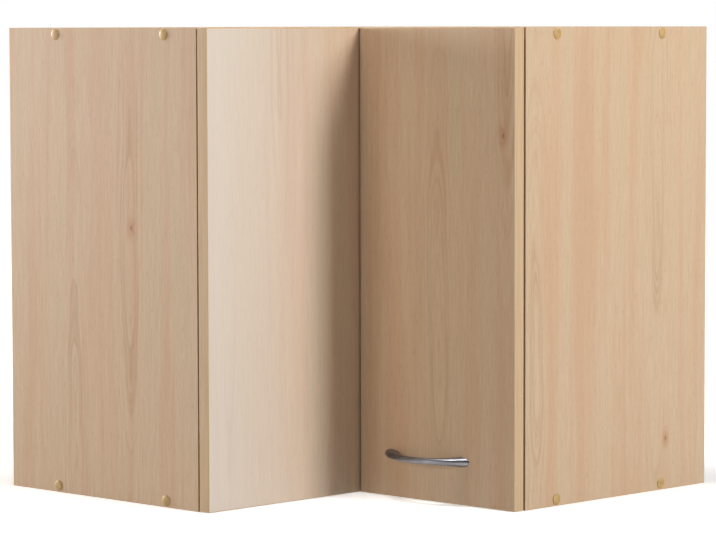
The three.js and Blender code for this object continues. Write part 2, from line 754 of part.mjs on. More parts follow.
const pin = (place, reach) => rod(at(place.x, place.y, -reach), at(place.x, place.y, reach), pinRadius, 8);

function hingeArm() {
  const rear = -armLength;
  const shoulder = armOuterPin.y - armEyeRadius - armNeck;
  const cheek = shapeOf([
    [armLip, rear], [armRidge, rear], [armRidge, shoulder],
    [armOuterPin.x + armEyeRadius * 0.9, armOuterPin.y - 1],
    [armInnerPin.x, armInnerPin.y], [armLip + armNeck, shoulder], [armLip, shoulder - armNeck],
  ]);
  const nose = linkOutline(armOuterPin, armInnerPin, armEyeRadius, armEyeRadius);
  const ridgeUnderside = armRidge - sheetThickness;
  const ridge = block(at(ridgeUnderside, rear, -armHalfWidth), at(armRidge, shoulder, armHalfWidth));
  const headTop = armRidge + armScrewHeadHeight;
  const screws = [];
  const slots = [];
  for (const y of armScrewPlaces.map((place) => rear + place)) {
    const inRidge = at(armRidge - sheetThickness / 2, y, 0);
    screws.push(rod(inRidge, at(headTop, y, 0), armScrewHeadRadius));
    screws.push(rod(at(ridgeUnderside - armScrewReach, y, 0), inRidge, armScrewRadius, 8));
    slots.push(block(
      at(headTop - slotDepth, y - armScrewHeadRadius, -slotWidth / 2),
      at(headTop + 1, y + armScrewHeadRadius, slotWidth / 2),
    ));
  }
  const shell = joined(bothSides(cheek, armHalfWidth), bothSides(nose, armHalfWidth), ridge);
  const bored = cut(shell, pinHole(armOuterPin));
  return cut(joined(bored, pin(armInnerPin, armHalfWidth), ...screws), ...slots);
}

// Two wings that take the screws, and a spine that the arm straddles.
function mountingPlate() {
  const spineTop = armRidge - sheetThickness - seat;
  const spineHalf = armHalfWidth - sheetThickness - seat;
  const middle = -plateDistance;
  const wings = roundedRectangle(plateWingHalfLength, plateHalfWidth, plateWingCorner);
  const spine = roundedRectangle(plateHalfLength, spineHalf, plateSpineCorner);
  // Both are drawn on the side panel's face and grow into the cabinet.
  const standing = (shape, height) => solidOf(
    new THREE.ExtrudeGeometry(shape, { depth: height, bevelEnabled: false, curveSegments: 2 })
      .rotateX(Math.PI / 2).rotateZ(Math.PI / 2).rotateX(Math.PI).translate(0, middle, 0),
  );
  const screws = [];
  for (const side of [-1, 1]) {
    const place = (x) => at(x, middle, side * plateScrewSpacing / 2);
    const headTop = plateThickness + plateScrewHeadHeight;
    screws.push(rod(place(-plateScrewLength), place(plateThickness / 2), plateScrewRadius, 8));
    screws.push(rod(place(plateThickness / 2), place(headTop), plateScrewHeadRadius));
  }
  const screwRelief = armScrewPlaces.map((place) => rod(
    at(spineTop - armScrewReach - seat, place - armLength, 0),
    at(spineTop + 1, place - armLength, 0), armScrewRadius + seat, 8,
  ));
  return cut(joined(standing(wings, plateThickness), standing(spine, spineTop), ...screws), ...screwRelief);
}

// Its cheeks run outside the arm's and share one pin, which turns in the arm.
function outerLink() {
  const cheeks = crankedLink(armOuterPin, outerLinkBend, cupOuterPin, outerBendRadius, outerLinkHalfWidth);
  return joined(cut(cheeks, pinHole(cupOuterPin)), pin(armOuterPin, outerLinkHalfWidth));
}

// Its cheeks run inside the arm's and share one pin at the cup's end.
function innerLink() {
  const cheeks = crankedLink(armInnerPin, innerLinkBend, cupInnerPin, innerBendRadius, innerLinkHalfWidth);
  return joined(cut(cheeks, pinHole(armInnerPin)), pin(cupInnerPin, innerLinkHalfWidth));
}

function hingeCup() {
  const floor = doorGap + cupDepth;
  const rim = doorGap - cupFlangeThickness;
  const inside = cupRadius - cupWall;
  const innerFloor = floor - cupWall;
  const bowl = turned([
    [0, innerFloor], [inside - cupCornerBevel, innerFloor], [inside, innerFloor - cupCornerBevel],
    [inside, rim], [cupRadius, rim], [cupRadius, floor - cupCornerBevel],
    [cupRadius - cupCornerBevel, floor], [0, floor],
  ], at(cupX, 0, 0), at(0, 1, 0), cupSides);
  const lift = (shape, curveSegments) => solidOf(
    new THREE.ExtrudeGeometry(shape, {
      depth: cupFlangeThickness, bevelEnabled: false, curveSegments,
    }).rotateX(Math.PI / 2).translate(cupX, doorGap, 0),
  );
  const wings = roundedRectangle(cupFlangeHalfWidth, cupFlangeHalfLength, cupFlangeCorner);
  const ring = new THREE.Shape().absarc(0, 0, cupFlangeRadius, 0, 2 * Math.PI);
  const flange = cut(
    joined(lift(wings, 2).translate([cupScrewOffset, 0, 0]), lift(ring, cupSides / 2)),
    rod(at(cupX, 0, 0), at(cupX, doorGap + 1, 0), inside + cupWall / 2, cupSides),
  );
  const core = rod(at(cupX, 0, 0), at(cupX, floor, 0), cupRadius - cupWall / 2, cupSides);
  const parts = [bowl, flange];
  for (const side of [-1, 1]) {
    const screw = (y) => at(cupX + cupScrewOffset, y, side * cupScrewSpacing / 2);
    parts.push(rod(screw(rim), screw(doorGap + cupScrewLength), cupScrewRadius, 8));
    parts.push(turned([
      [0, 0], [cupScrewHeadRadius, 0], [cupScrewHeadRadius * 0.7, cupScrewHeadHeight * 0.75],
      [0, cupScrewHeadHeight],
    ], screw(rim), at(0, -1, 0), 10));
    // The outer link turns on a stub that stands out of the cup's wall.
    const stub = rod(
      at(cupOuterPin.x, cupOuterPin.y, side * (outerLinkHalfWidth - sheetThickness)),
      at(cupOuterPin.x, cupOuterPin.y, side * cupRadius), pinRadius, 8,
    );
    parts.push(stub.intersect(core));
  }
  return joined(...parts);
}

// ---------------------------------------------------------------- wall hanger

const hangerTop = topUnderside - hangerTopGap;
const hangerStart = backInset + backThickness + seat;         // depth of the housing's rear
const hangerMiddle = hangerStart + hangerDepth / 2;
const hangerDowelHeights = [
  hangerTop - hangerDowelInset,
  hangerTop - hangerHeight + hangerDowelInset,
];
const hookMiddle = hangerTop - hangerHeight / 2 + hookRaise;
const hookInset = boardThickness + hangerWidth / 2;

// A folded housing on the side panel, open to the rear, with its two dowels.
function hangerHousing(wing) {
  const low = hangerTop - hangerHeight;
  const shell = block(
    wing(hangerStart, boardThickness, low),
    wing(hangerStart + hangerDepth, boardThickness + hangerWidth, hangerTop),
  );
  const front = hangerStart + hangerDepth;
  const room = block(
    wing(hangerStart - 1, boardThickness + hangerWall, low + hangerWall),
    wing(front - hangerWall, boardThickness + hangerWidth - hangerWall, hangerTop - hangerWall),
  );
  const dowels = hangerDowelHeights.map((z) => rod(
    wing(hangerMiddle, boardThickness - hangerDowelLength, z),
    wing(hangerMiddle, boardThickness + hangerWall, z), hangerDowelRadius,
  ));
  const adjusterZ = hookMiddle - hangerAdjusterDrop;
  const adjuster = rod(
    wing(front - hangerWall, hookInset, adjusterZ),
    wing(front + hangerAdjusterHead, hookInset, adjusterZ), hangerAdjusterRadius,
  );
  return joined(cut(shell, room), ...dowels, adjuster);
}

// A flat hook, cut from thick sheet, whose nose reaches behind the back and over the wall rail.
function hangerHook(wing) {
  const rear = hookWallGap;
  const front = hangerStart + hangerDepth - hangerWall - seat;
  const top = hookMiddle + hookHeight / 2;
  const bottom = hookMiddle - hookHeight / 2;
  const bearing = top - hookNose;
  const noseFront = rear + hookNoseThickness;
  const profile = shapeOf([
    [rear, top], [front, top], [front, bottom], [hangerStart + 2, bottom],
    [noseFront + hookThroat, bearing], [noseFront, bearing],
    [noseFront, bearing - hookNoseReach], [rear, bearing - hookNoseReach],
  ]);
  const toWing = (geometry) => {
    const position = geometry.attributes.position;
    const corners = [];
    for (let i = 0; i < position.count; i++) {
      corners.push(wing(position.getX(i), hookInset + position.getZ(i), position.getY(i)));
    }
    for (let i = 0; i < corners.length; i += 3) {
      // The left wing is the right one's mirror image, so its triangles are taken the other way.
      const order = wing === leftWing ? [i, i + 2, i + 1] : [i, i + 1, i + 2];
      order.forEach((from, k) => position.setXYZ(i + k, ...corners[from].toArray()));
    }
    return geometry;
  };
  const options = { depth: hookThickness, bevelEnabled: false };
  const geometry = new THREE.ExtrudeGeometry(profile, options).translate(0, 0, -hookThickness / 2);
  return solidOf(toWing(geometry));
}

// ---------------------------------------------------------------- assembly

place('left_side_panel', sidePanel(leftWing, []), beech);
place('right_side_panel', sidePanel(rightWing, hingePlateHoles()), beech);
place('bottom_panel', wingsPanel(0, boardThickness, 1), beech);
place('top_panel', wingsPanel(topUnderside, topUnderside, -1), beech);
place('rear_corner_board', cornerBoard(), beech);
place('left_back_panel', leftBackPanel(), hardboard);
place('rear_back_panel', rearBackPanel(), hardboard);
place('shelf', shelf(), beech);
place('fixed_front_panel', fixedFront(), beechFront);
place('door', door(), beechFront);
place('handle_bow', handleBow(), satinNickel);

handlePlaces.forEach((x, i) => place(`handle_screw_${i + 1}`, handleScrew(x), zincPlate));

const sides = [
  { name: 'left', wing: leftWing, outward: at(0, -1, 0) },
  { name: 'right', wing: rightWing, outward: at(1, 0, 0) },
];

for (const { name, wing, outward } of sides) {
  const inward = outward.clone().negate();
  let count = 1;
  for (const z of joinHeights) {
    for (const depth of screwDepths) {
      place(`${name}_cover_cap_${count}`, coverCap(wing(depth, 0, z), outward), capPlastic);
      const screw = connectingScrew(wing(depth, screwHeadSink, z), inward);
      place(`${name}_connecting_screw_${count}`, screw, zincPlate);
      count++;
    }
  }
  const pinZ = shelfHole(shelfHoleInUse);
  [bodyDepth - holeRowFront, holeRowRear].forEach((depth, i) => {
    const support = shelfPin(wing(depth, boardThickness, pinZ), inward);
    place(`${name}_shelf_pin_${i + 1}`, support, nickelPlate);
  });
  place(`${name}_hanger_housing`, hangerHousing(wing), greyPlastic);
  place(`${name}_hanger_hook`, hangerHook(wing), zincPlate);
}

cornerHolePlaces.forEach((x, i) => {
  const support = shelfPin(at(x, cornerBoardFront, shelfHole(shelfHoleInUse)), at(0, -1, 0));
  place(`corner_shelf_pin_${i + 1}`, support, nickelPlate);
});

cornerScrewPlaces.forEach((x, i) => {
  const low = connectingScrew(at(x, rearBackY, screwHeadSink), at(0, 0, 1));
  const high = connectingScrew(at(x, rearBackY, cabinetHeight - screwHeadSink), at(0, 0, -1));
  place(`lower_corner_screw_${i + 1}`, low, zincPlate);
  place(`upper_corner_screw_${i + 1}`, high, zincPlate);
});

bracketPlaces.forEach((distance, i) => {
  const y = -half + distance;
  place(`lower_bracket_${i + 1}`, cornerBracket(y, boardThickness, 1), zincPlate);
  place(`upper_bracket_${i + 1}`, cornerBracket(y, topUnderside, -1), zincPlate);
});

const bumperX = doorInnerX + bumperInset;
place('lower_bumper', bumper(bumperX, frontReveal + bumperSetback), clearRubber);
place('upper_bumper', bumper(bumperX, cabinetHeight - frontReveal - bumperSetback), clearRubber);

['lower', 'upper'].forEach((name, i) => {
  const hinge = new THREE.Group();
  hinge.position.set(half - boardThickness, wingFrontY, hingeHeights[i]);
  hinge.rotation.z = Math.PI;
  place(`${name}_hinge_plate`, mountingPlate(), nickelPlate, hinge);
  place(`${name}_hinge_arm`, hingeArm(), nickelPlate, hinge);
  place(`${name}_hinge_outer_link`, outerLink(), nickelPlate, hinge);
  place(`${name}_hinge_inner_link`, innerLink(), nickelPlate, hinge);
  place(`${name}_hinge_cup`, hingeCup(), nickelPlate, hinge);
  cabinet.add(hinge);
});

export default cabinet;
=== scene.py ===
import json
import math

import bpy
from mathutils import Matrix, Vector

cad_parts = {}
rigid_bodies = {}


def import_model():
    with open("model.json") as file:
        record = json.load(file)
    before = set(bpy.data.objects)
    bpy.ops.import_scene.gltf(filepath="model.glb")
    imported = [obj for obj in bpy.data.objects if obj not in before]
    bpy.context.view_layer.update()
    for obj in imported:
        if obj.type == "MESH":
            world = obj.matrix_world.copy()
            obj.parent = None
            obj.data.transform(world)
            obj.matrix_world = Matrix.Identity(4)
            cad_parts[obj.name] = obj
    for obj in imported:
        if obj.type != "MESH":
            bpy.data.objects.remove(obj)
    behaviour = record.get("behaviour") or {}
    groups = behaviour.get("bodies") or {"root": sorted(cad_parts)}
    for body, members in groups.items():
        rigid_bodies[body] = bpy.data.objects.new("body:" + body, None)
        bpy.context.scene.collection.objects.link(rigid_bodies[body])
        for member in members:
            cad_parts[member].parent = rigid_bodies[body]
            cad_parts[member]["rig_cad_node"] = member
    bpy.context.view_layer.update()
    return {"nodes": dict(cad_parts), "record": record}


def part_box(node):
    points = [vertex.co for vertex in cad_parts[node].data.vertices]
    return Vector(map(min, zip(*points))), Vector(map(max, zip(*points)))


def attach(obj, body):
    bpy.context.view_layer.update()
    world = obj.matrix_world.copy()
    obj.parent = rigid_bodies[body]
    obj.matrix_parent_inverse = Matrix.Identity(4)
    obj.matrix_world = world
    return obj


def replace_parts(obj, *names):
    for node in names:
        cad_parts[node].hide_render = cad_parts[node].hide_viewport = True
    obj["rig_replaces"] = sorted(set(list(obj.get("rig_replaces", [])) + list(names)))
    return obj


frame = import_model()
print("corner wall cabinet: solids loaded")

scene = bpy.context.scene
scene.view_settings.view_transform = "Standard"
scene.view_settings.look = "None"


cameraPlace = {
    "stand": (2.9027, -2.9750, 0.5668),  # m from the middle of the cabinet's underside
    "heading": (-0.6985, 0.7155),        # along the floor, towards the cabinet
    "pitch": -4.171,                     # degrees, looking slightly down
    "roll": -0.123,
    "focal": 3408.2 / 716 * 36,          # mm, from pixels of a picture 716 wide
    "sensor": 36,                        # mm
    "clip": (0.05, 200),                 # m
}


def addCamera(values):
    pitch, roll = math.radians(values["pitch"]), math.radians(values["roll"])
    east, north = Vector(values["heading"]).normalized()
    ahead = Vector((east * math.cos(pitch), north * math.cos(pitch), math.sin(pitch)))
    right = ahead.cross(Vector((0, 0, 1))).normalized()
    up = right.cross(ahead)
    turnedRight = right * math.cos(roll) + up * math.sin(roll)
    turnedUp = up * math.cos(roll) - right * math.sin(roll)
    bpy.ops.object.camera_add(location=values["stand"])
    camera = bpy.context.object
    camera.name = "photoCamera"
    turn = Matrix((turnedRight, turnedUp, -ahead)).transposed().to_4x4()
    camera.matrix_world = Matrix.Translation(values["stand"]) @ turn
    camera.data.lens = values["focal"]
    camera.data.sensor_width = values["sensor"]
    camera.data.clip_start, camera.data.clip_end = values["clip"]
    scene.camera = camera


addCamera(cameraPlace)
print("camera placed")


def linear(hexColour, strength=1.0):
    # picture colours are sRGB, shaders want them linear
    parts = [int(hexColour[i:i + 2], 16) / 255 for i in (1, 3, 5)]
    parts = [c / 12.92 if c <= 0.04045 else ((c + 0.055) / 1.055) ** 2.4 for c in parts]
    return tuple(min(1.0, c * strength) for c in parts) + (1.0,)


def addNode(tree, kind, settings=None, links=None):
    # a setting goes to the node's property or else to its socket, and a link comes from a node or from
    # (node, output). Of a Map Range, 1 and 2 are where it starts and ends, and 3 and 4 what it gives there.
    # Of a colour Mix, 6 and 7 are its two colours and output 2 is its result
    node = tree.nodes.new(kind)
    for name, value in (settings or {}).items():
        if isinstance(name, str) and hasattr(node, name):
            setattr(node, name, value)
        else:
            node.inputs[name].default_value = value
    for name, source in (links or {}).items():
        source, output = source if isinstance(source, tuple) else (source, 0)
        tree.links.new(source.outputs[output], node.inputs[name])
    return node


def newMaterial(name, settings):
    # a Principled surface with its uniform values, and its tree to hang patterns on
    material = bpy.data.materials.new(name)
    material.use_nodes = True
    tree = material.node_tree
    shader = tree.nodes["Principled BSDF"]
    for socket, value in settings.items():
        shader.inputs[socket].default_value = value
    return material, tree, shader


def finishSurface(tree, shader, colour, rough, height, emboss):
    # emboss: how strongly the height shows, and its depth in mm
    tree.links.new(colour.outputs[2], shader.inputs["Base Color"])
    if rough is not None:
        tree.links.new(rough.outputs[0], shader.inputs["Roughness"])
    bump = addNode(tree, "ShaderNodeBump", {"Strength": emboss[0], "Distance": emboss[1] / 1000},
                   {"Height": height})
    tree.links.new(bump.outputs[0], shader.inputs["Normal"])
    return bump


def deselectAll():
    if bpy.context.object and bpy.context.object.mode != "OBJECT":
        bpy.ops.object.mode_set(mode="OBJECT")
    bpy.ops.object.select_all(action="DESELECT")


def pickOnly(piece):
    deselectAll()
    piece.select_set(True)
    bpy.context.view_layer.objects.active = piece


def applyModifier(piece, kind, **settings):
    pickOnly(piece)
    modifier = piece.modifiers.new(kind.title(), kind)
    for name, value in settings.items():
        setattr(modifier, name, value)
    bpy.ops.object.modifier_apply(modifier=modifier.name)


def breakEdges(piece, width, angle, segments=2):
    # width in mm, on edges sharper than the angle in degrees
    applyModifier(piece, "BEVEL", width=width / 1000, segments=segments, limit_method="ANGLE",
                  angle_limit=math.radians(angle))


def smoothEdges(piece, angle):
    # round edges shade smoothly and the wide faces beside them stay flat
    pickOnly(piece)
    bpy.ops.object.shade_smooth_by_angle(angle=math.radians(angle))
    applyModifier(piece, "WEIGHTED_NORMAL", keep_sharp=True, weight=100)


solidCopy = {
    "mergeReach": 0.002,      # mm, closer points become one
    "flatAngle": 0.5,         # degrees, triangles that lie flatter become one face
}


def copyOfSolid(nodeName, values=solidCopy):
    # a mesh of its own, with the loose triangles merged into clean faces
    pickOnly(frame["nodes"][nodeName])
    bpy.ops.object.duplicate()
    piece = bpy.context.object
    piece.name = nodeName.replace("_", "-")
    piece.data.name = piece.name
    del piece["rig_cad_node"]
    piece.parent = None
    piece.data.materials.clear()
    bpy.ops.object.mode_set(mode="EDIT")
    bpy.ops.mesh.select_all(action="SELECT")
    bpy.ops.mesh.remove_doubles(threshold=values["mergeReach"] / 1000)
    bpy.ops.mesh.dissolve_limited(angle_limit=math.radians(values["flatAngle"]))
    bpy.ops.object.mode_set(mode="OBJECT")
    return piece


def bodyOf(nodeName):
    bodies = frame["record"]["behaviour"]["bodies"]
    return next(body for body, nodes in bodies.items() if nodeName in nodes)


def standIn(piece, nodeName):
    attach(piece, bodyOf(nodeName))
    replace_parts(piece, nodeName)


# beech-decor melamine: printed paper under resin on chipboard. The print gives soft bands,
# arched growth rings and fine streaks, the resin an even silky sheen with a shallow pore emboss

beechDecor = {
    "pale": "#d8bc9b",        # early wood
    "warm": "#d2ab88",        # reddish bands
    "honey": "#d4ba98",       # and yellowish ones
    "ringLine": "#b07f58",    # late wood
    "streak": "#c39e7b",
    "fleck": "#a0764f",       # short ray flecks
    "blush": "#bb8159",       # the reddish wood round a knot
    "knot": "#6f452c",
    "paintedSheen": "#f1eae1",        # painted sheen: pale over the print where the key light's glossy sheen falls
    # mm: a size is a pattern's width across the grain and its length along it
    "wander": 8,              # how far the grain strays sideways
    "wanderSize": (80, 260),
    "depthSwing": 16,         # how far the cut wanders into the log
    "depthSize": (90, 110),
    "bandSize": (26, 650),
    "ringSize": (2.8, 400),
    "streakSize": (1.4, 34),
    "fleckSize": (0.8, 9),    # finer in the real print, drawn as coarse as the render can show
    "ringFade": (4, 34),      # from a heart, where the rings start to fade and where they have faded
    "archBlend": 12,          # how softly the arches of two hearts run together
    "poreDepth": 0.03,
    # detail and roughness of each pattern's noise
    "wanderNoise": (4.0, 0.45), "depthNoise": (1.5, 0.5), "bandNoise": (4.0, 0.58),
    "ringNoise": (2.0, 0.6), "streakNoise": (3.0, 0.6), "fleckNoise": (1.0, 0.5),
    "taper": 0.07,            # how slowly the arches close along the grain
    "bandShift": 3.7,         # keeps the bands from following the rings
    # where in its pattern an ink starts to show, where it shows fully, and its share there
    "honeyFrom": 0.48, "honeyFull": 0.34,
    "warmFrom": 0.40, "warmFull": 0.68, "warmShare": 0.9,
    "streakFrom": 0.36, "streakFull": 0.76, "streakShare": 0.55,
    "ringFrom": 0.46, "ringFull": 0.70, "ringAway": 0.12,  # and the share that is left away from the hearts
    "fleckFrom": 0.60, "fleckFull": 0.76, "fleckShare": 0.34,
    # knots, in their own size counted from their middle
    "knotSquash": 0.55,       # round when this is 1 and longer along the grain when less
    "swirlReach": 3.2,        # the rings bend round the knot up to here
    "swirlPush": 2.2,
    "knotReach": (0.3, 1.1), "knotShare": 0.6,
    "blushReach": (0.8, 5.0), "blushShare": 0.55,
    "roughness": (0.38, 0.52),
    "roughFrom": 0.3, "roughFull": 0.7,  # in the streaks
    "embossStrength": 0.5,
}


def boardSheet(tree, figure):
    # a place across and along the board, in mm, and both with the board's own shift in the print
    place = addNode(tree, "ShaderNodeTexCoord")
    axes = addNode(tree, "ShaderNodeSeparateXYZ", {}, {0: (place, "Object")})
    inMm = {"operation": "MULTIPLY", 1: 1000}
    across = addNode(tree, "ShaderNodeMath", inMm, {0: (axes, figure["across"])})
    along = addNode(tree, "ShaderNodeMath", inMm, {0: (axes, figure["along"])})
    sheet = addNode(tree, "ShaderNodeCombineXYZ", {2: figure["shift"]}, {0: across, 1: along})
    return across, along, sheet


def heartDistance(tree, figure, values, bent, along, depth):
    # to the nearest heart of the wandering cut. Its contours are the growth rings, and they close to arches
    swing = addNode(tree, "ShaderNodeMath", {"operation": "MULTIPLY", 1: values["depthSwing"]}, {0: depth})
    sunk = addNode(tree, "ShaderNodeMath", {"operation": "MULTIPLY_ADD", 1: values["taper"]},
                   {0: along, 2: swing})
    cut = addNode(tree, "ShaderNodeCombineXYZ", {}, {0: bent, 1: sunk})
    radius = None
    for heartAcross, heartAlong in figure["hearts"]:
        heart = (heartAcross, heartAlong * values["taper"] + values["depthSwing"] / 2, 0)
        reach = (addNode(tree, "ShaderNodeVectorMath", {"operation": "DISTANCE", 1: heart}, {0: cut}), "Value")
        radius = reach if radius is None else addNode(tree, "ShaderNodeMath", {
            "operation": "SMOOTH_MIN", 2: values["archBlend"]}, {0: radius, 1: reach})
    return radius


def bendRoundKnots(tree, figure, values, sheet, radius):
    # the rings bend round each knot, which has a dark core in a reddish halo
    knotDark = knotBlush = None
    for knotAcross, knotAlong, size in figure["knots"]:
        offset = addNode(tree, "ShaderNodeVectorMath", {
            "operation": "SUBTRACT", 1: (knotAcross, knotAlong, figure["shift"])}, {0: sheet})
        squeezed = addNode(tree, "ShaderNodeVectorMath", {
            "operation": "MULTIPLY", 1: (1 / size, values["knotSquash"] / size, 1)}, {0: offset})
        away = (addNode(tree, "ShaderNodeVectorMath", {"operation": "LENGTH"}, {0: squeezed}), "Value")
        swirl = addNode(tree, "ShaderNodeMapRange", {
            "interpolation_type": "SMOOTHSTEP", 1: 0.0, 2: values["swirlReach"],
            3: values["swirlPush"] * size, 4: 0.0}, {0: away})
        radius = addNode(tree, "ShaderNodeMath", {"operation": "ADD"}, {0: radius, 1: swirl})
        core = addNode(tree, "ShaderNodeMapRange", {
            "interpolation_type": "SMOOTHSTEP", 1: values["knotReach"][0], 2: values["knotReach"][1],
            3: 1.0, 4: 0.0}, {0: away})
        halo = addNode(tree, "ShaderNodeMapRange", {
            "interpolation_type": "SMOOTHSTEP", 1: values["blushReach"][0], 2: values["blushReach"][1],
            3: values["blushShare"], 4: 0.0}, {0: away})
        knotDark = core if knotDark is None else addNode(
            tree, "ShaderNodeMath", {"operation": "MAXIMUM"}, {0: knotDark, 1: core})
        knotBlush = halo if knotBlush is None else addNode(
            tree, "ShaderNodeMath", {"operation": "MAXIMUM"}, {0: knotBlush, 1: halo})
    return radius, knotDark, knotBlush


def inkShares(tree, figure, values, noises, radius):
    # how much of each ink a place takes, in the order they lie over each other
    honey = addNode(tree, "ShaderNodeMapRange", {
        "interpolation_type": "SMOOTHSTEP", 1: values["honeyFrom"], 2: values["honeyFull"]},
        {0: noises["band"]})
    warm = addNode(tree, "ShaderNodeMapRange", {
        "interpolation_type": "SMOOTHSTEP", 1: values["warmFrom"], 2: values["warmFull"],
        4: values["warmShare"]}, {0: noises["band"]})
    streak = addNode(tree, "ShaderNodeMapRange", {
        1: values["streakFrom"], 2: values["streakFull"], 4: values["streakShare"]}, {0: noises["streak"]})
    ringDark = addNode(tree, "ShaderNodeMapRange", {
        "interpolation_type": "SMOOTHSTEP", 1: values["ringFrom"], 2: values["ringFull"],
        4: figure["ringStrength"]}, {0: noises["ring"]})
    near = addNode(tree, "ShaderNodeMapRange", {
        "interpolation_type": "SMOOTHSTEP", 1: values["ringFade"][0], 2: values["ringFade"][1],
        3: 1.0, 4: values["ringAway"]}, {0: radius})
    ringLine = addNode(tree, "ShaderNodeMath", {"operation": "MULTIPLY"}, {0: ringDark, 1: near})
    fleck = addNode(tree, "ShaderNodeMapRange", {
        "interpolation_type": "SMOOTHSTEP", 1: values["fleckFrom"], 2: values["fleckFull"],
        4: values["fleckShare"]}, {0: noises["fleck"]})
    return {"honey": honey, "warm": warm, "streak": streak, "ringLine": ringLine, "fleck": fleck}


def beechMaterial(name, figure, values=beechDecor):
    # figure: the board's across and along axes, its shift in the print, the hearts of its arches and its knots
    material, tree, shader = newMaterial(name, {"IOR": 1.5, "Metallic": 0.0})
    across, along, sheet = boardSheet(tree, figure)
    noises = {}
    for pattern in ("wander", "depth", "streak", "fleck"):
        width, length = values[pattern + "Size"]
        detail, roughness = values[pattern + "Noise"]
        scaled = addNode(tree, "ShaderNodeVectorMath", {
            "operation": "MULTIPLY", 1: (1 / width, 1 / length, 1)}, {0: sheet})
        noises[pattern] = addNode(tree, "ShaderNodeTexNoise", {
            "Scale": 1.0, "Detail": detail, "Roughness": roughness}, {"Vector": scaled})
    sideways = addNode(tree, "ShaderNodeMath", {
        "operation": "MULTIPLY_ADD", 1: 2 * values["wander"], 2: -values["wander"]}, {0: noises["wander"]})
    bent = addNode(tree, "ShaderNodeMath", {"operation": "ADD"}, {0: across, 1: sideways})
    radius = heartDistance(tree, figure, values, bent, along, noises["depth"])
    radius, knotDark, knotBlush = bendRoundKnots(tree, figure, values, sheet, radius)
    # bands lie side by side across the strayed grain, rings one after another round the hearts
    for pattern, line, drift in (("band", bent, values["bandShift"]), ("ring", radius, 0)):
        width, length = values[pattern + "Size"]
        detail, roughness = values[pattern + "Noise"]
        count = addNode(tree, "ShaderNodeMath", {"operation": "MULTIPLY", 1: 1 / width}, {0: line})
        stretch = addNode(tree, "ShaderNodeMath", {"operation": "MULTIPLY", 1: 1 / length}, {0: along})
        scaled = addNode(tree, "ShaderNodeCombineXYZ", {2: figure["shift"] + drift}, {0: count, 1: stretch})
        noises[pattern] = addNode(tree, "ShaderNodeTexNoise", {
            "Scale": 1.0, "Detail": detail, "Roughness": roughness}, {"Vector": scaled})

    # the print, one ink over the other on the pale ground
    inks = inkShares(tree, figure, values, noises, radius)
    pores = addNode(tree, "ShaderNodeMath", {"operation": "ADD"}, {0: inks["streak"], 1: inks["fleck"]})
    if knotDark is not None:
        inks["blush"] = knotBlush
        inks["knot"] = addNode(tree, "ShaderNodeMath", {"operation": "MULTIPLY", 1: values["knotShare"]},
                               {0: knotDark})
    # a tone below 1 darkens the whole print as painted shade; only the door has one
    shadeTone = figure.get("shadeTone", 1.0)
    colour = None
    for ink, share in inks.items():
        under = {} if colour is None else {6: (colour, 2)}
        colour = addNode(tree, "ShaderNodeMix", {
            "data_type": "RGBA", 6: linear(values["pale"], shadeTone), 7: linear(values[ink], shadeTone)},
            {0: share, **under})
    if figure.get("paintedSheen"):
        # painted sheen, strongest at the outer edge and fading towards the inner corner where the door shades
        # the key light:
        # across the board from one place to another, and its share at each
        fromAcross, fromShare, toAcross, toShare = figure["paintedSheen"]
        paintedSheen = addNode(tree, "ShaderNodeMapRange", {1: fromAcross, 2: toAcross, 3: fromShare, 4: toShare},
                       {0: across})
        colour = addNode(tree, "ShaderNodeMix", {"data_type": "RGBA", 7: linear(values["paintedSheen"])},
                         {0: paintedSheen, 6: (colour, 2)})
    rough = addNode(tree, "ShaderNodeMapRange", {
        1: values["roughFrom"], 2: values["roughFull"],
        3: values["roughness"][0], 4: values["roughness"][1]}, {0: noises["streak"]})
    bump = finishSurface(tree, shader, colour, rough, pores, (values["embossStrength"], values["poreDepth"]))
    bump.invert = True                   # pores are pressed in
    return material


# ABS edge band: extruded plastic in the same print, a little yellower and glossier than the faces,
# with streaks that run along the edge and the odd scuff
edgeBand = {
    "ground": "#d4b58c",
    "streak": "#b68e66",
    "scuff": "#dfcaad",
    "streakWidth": 1.1,       # mm
    "streakLength": 90,
    "streakFrom": 0.4, "streakFull": 0.8, "streakShare": 0.6,
    "scuffScale": 140.0,      # spots about 7 mm wide
    "scuffFrom": 0.64, "scuffFull": 0.72, "scuffShare": 0.5,
    "roughness": (0.34, 0.46),
    "emboss": (0.4, 0.02),    # strength, and depth in mm, as in the next ones
}


def edgeBandMaterial(name, alongAxis, values=edgeBand):
    material, tree, shader = newMaterial(name, {"IOR": 1.53})
    place = addNode(tree, "ShaderNodeTexCoord")
    stretch = [1000 / values["streakWidth"]] * 3
    stretch["XYZ".index(alongAxis)] = 1000 / values["streakLength"]
    drawn = addNode(tree, "ShaderNodeVectorMath", {"operation": "MULTIPLY", 1: stretch},
                    {0: (place, "Object")})
    streaks = addNode(tree, "ShaderNodeTexNoise", {"Scale": 1.0, "Detail": 2.0}, {"Vector": drawn})
    share = addNode(tree, "ShaderNodeMapRange", {
        1: values["streakFrom"], 2: values["streakFull"], 4: values["streakShare"]}, {0: streaks})
    ground = addNode(tree, "ShaderNodeMix", {
        "data_type": "RGBA", 6: linear(values["ground"]), 7: linear(values["streak"])}, {0: share})
    spots = addNode(tree, "ShaderNodeTexNoise", {
        "Scale": values["scuffScale"], "Detail": 3.0, "Roughness": 0.7}, {"Vector": (place, "Object")})
    scuffs = addNode(tree, "ShaderNodeMapRange", {
        1: values["scuffFrom"], 2: values["scuffFull"], 4: values["scuffShare"]}, {0: spots})
    colour = addNode(tree, "ShaderNodeMix", {"data_type": "RGBA", 7: linear(values["scuff"])},
                     {0: scuffs, 6: (ground, 2)})
    rough = addNode(tree, "ShaderNodeMapRange", {3: values["roughness"][0], 4: values["roughness"][1]},
                    {0: spots})
    finishSurface(tree, shader, colour, rough, streaks, values["emboss"])
    return material


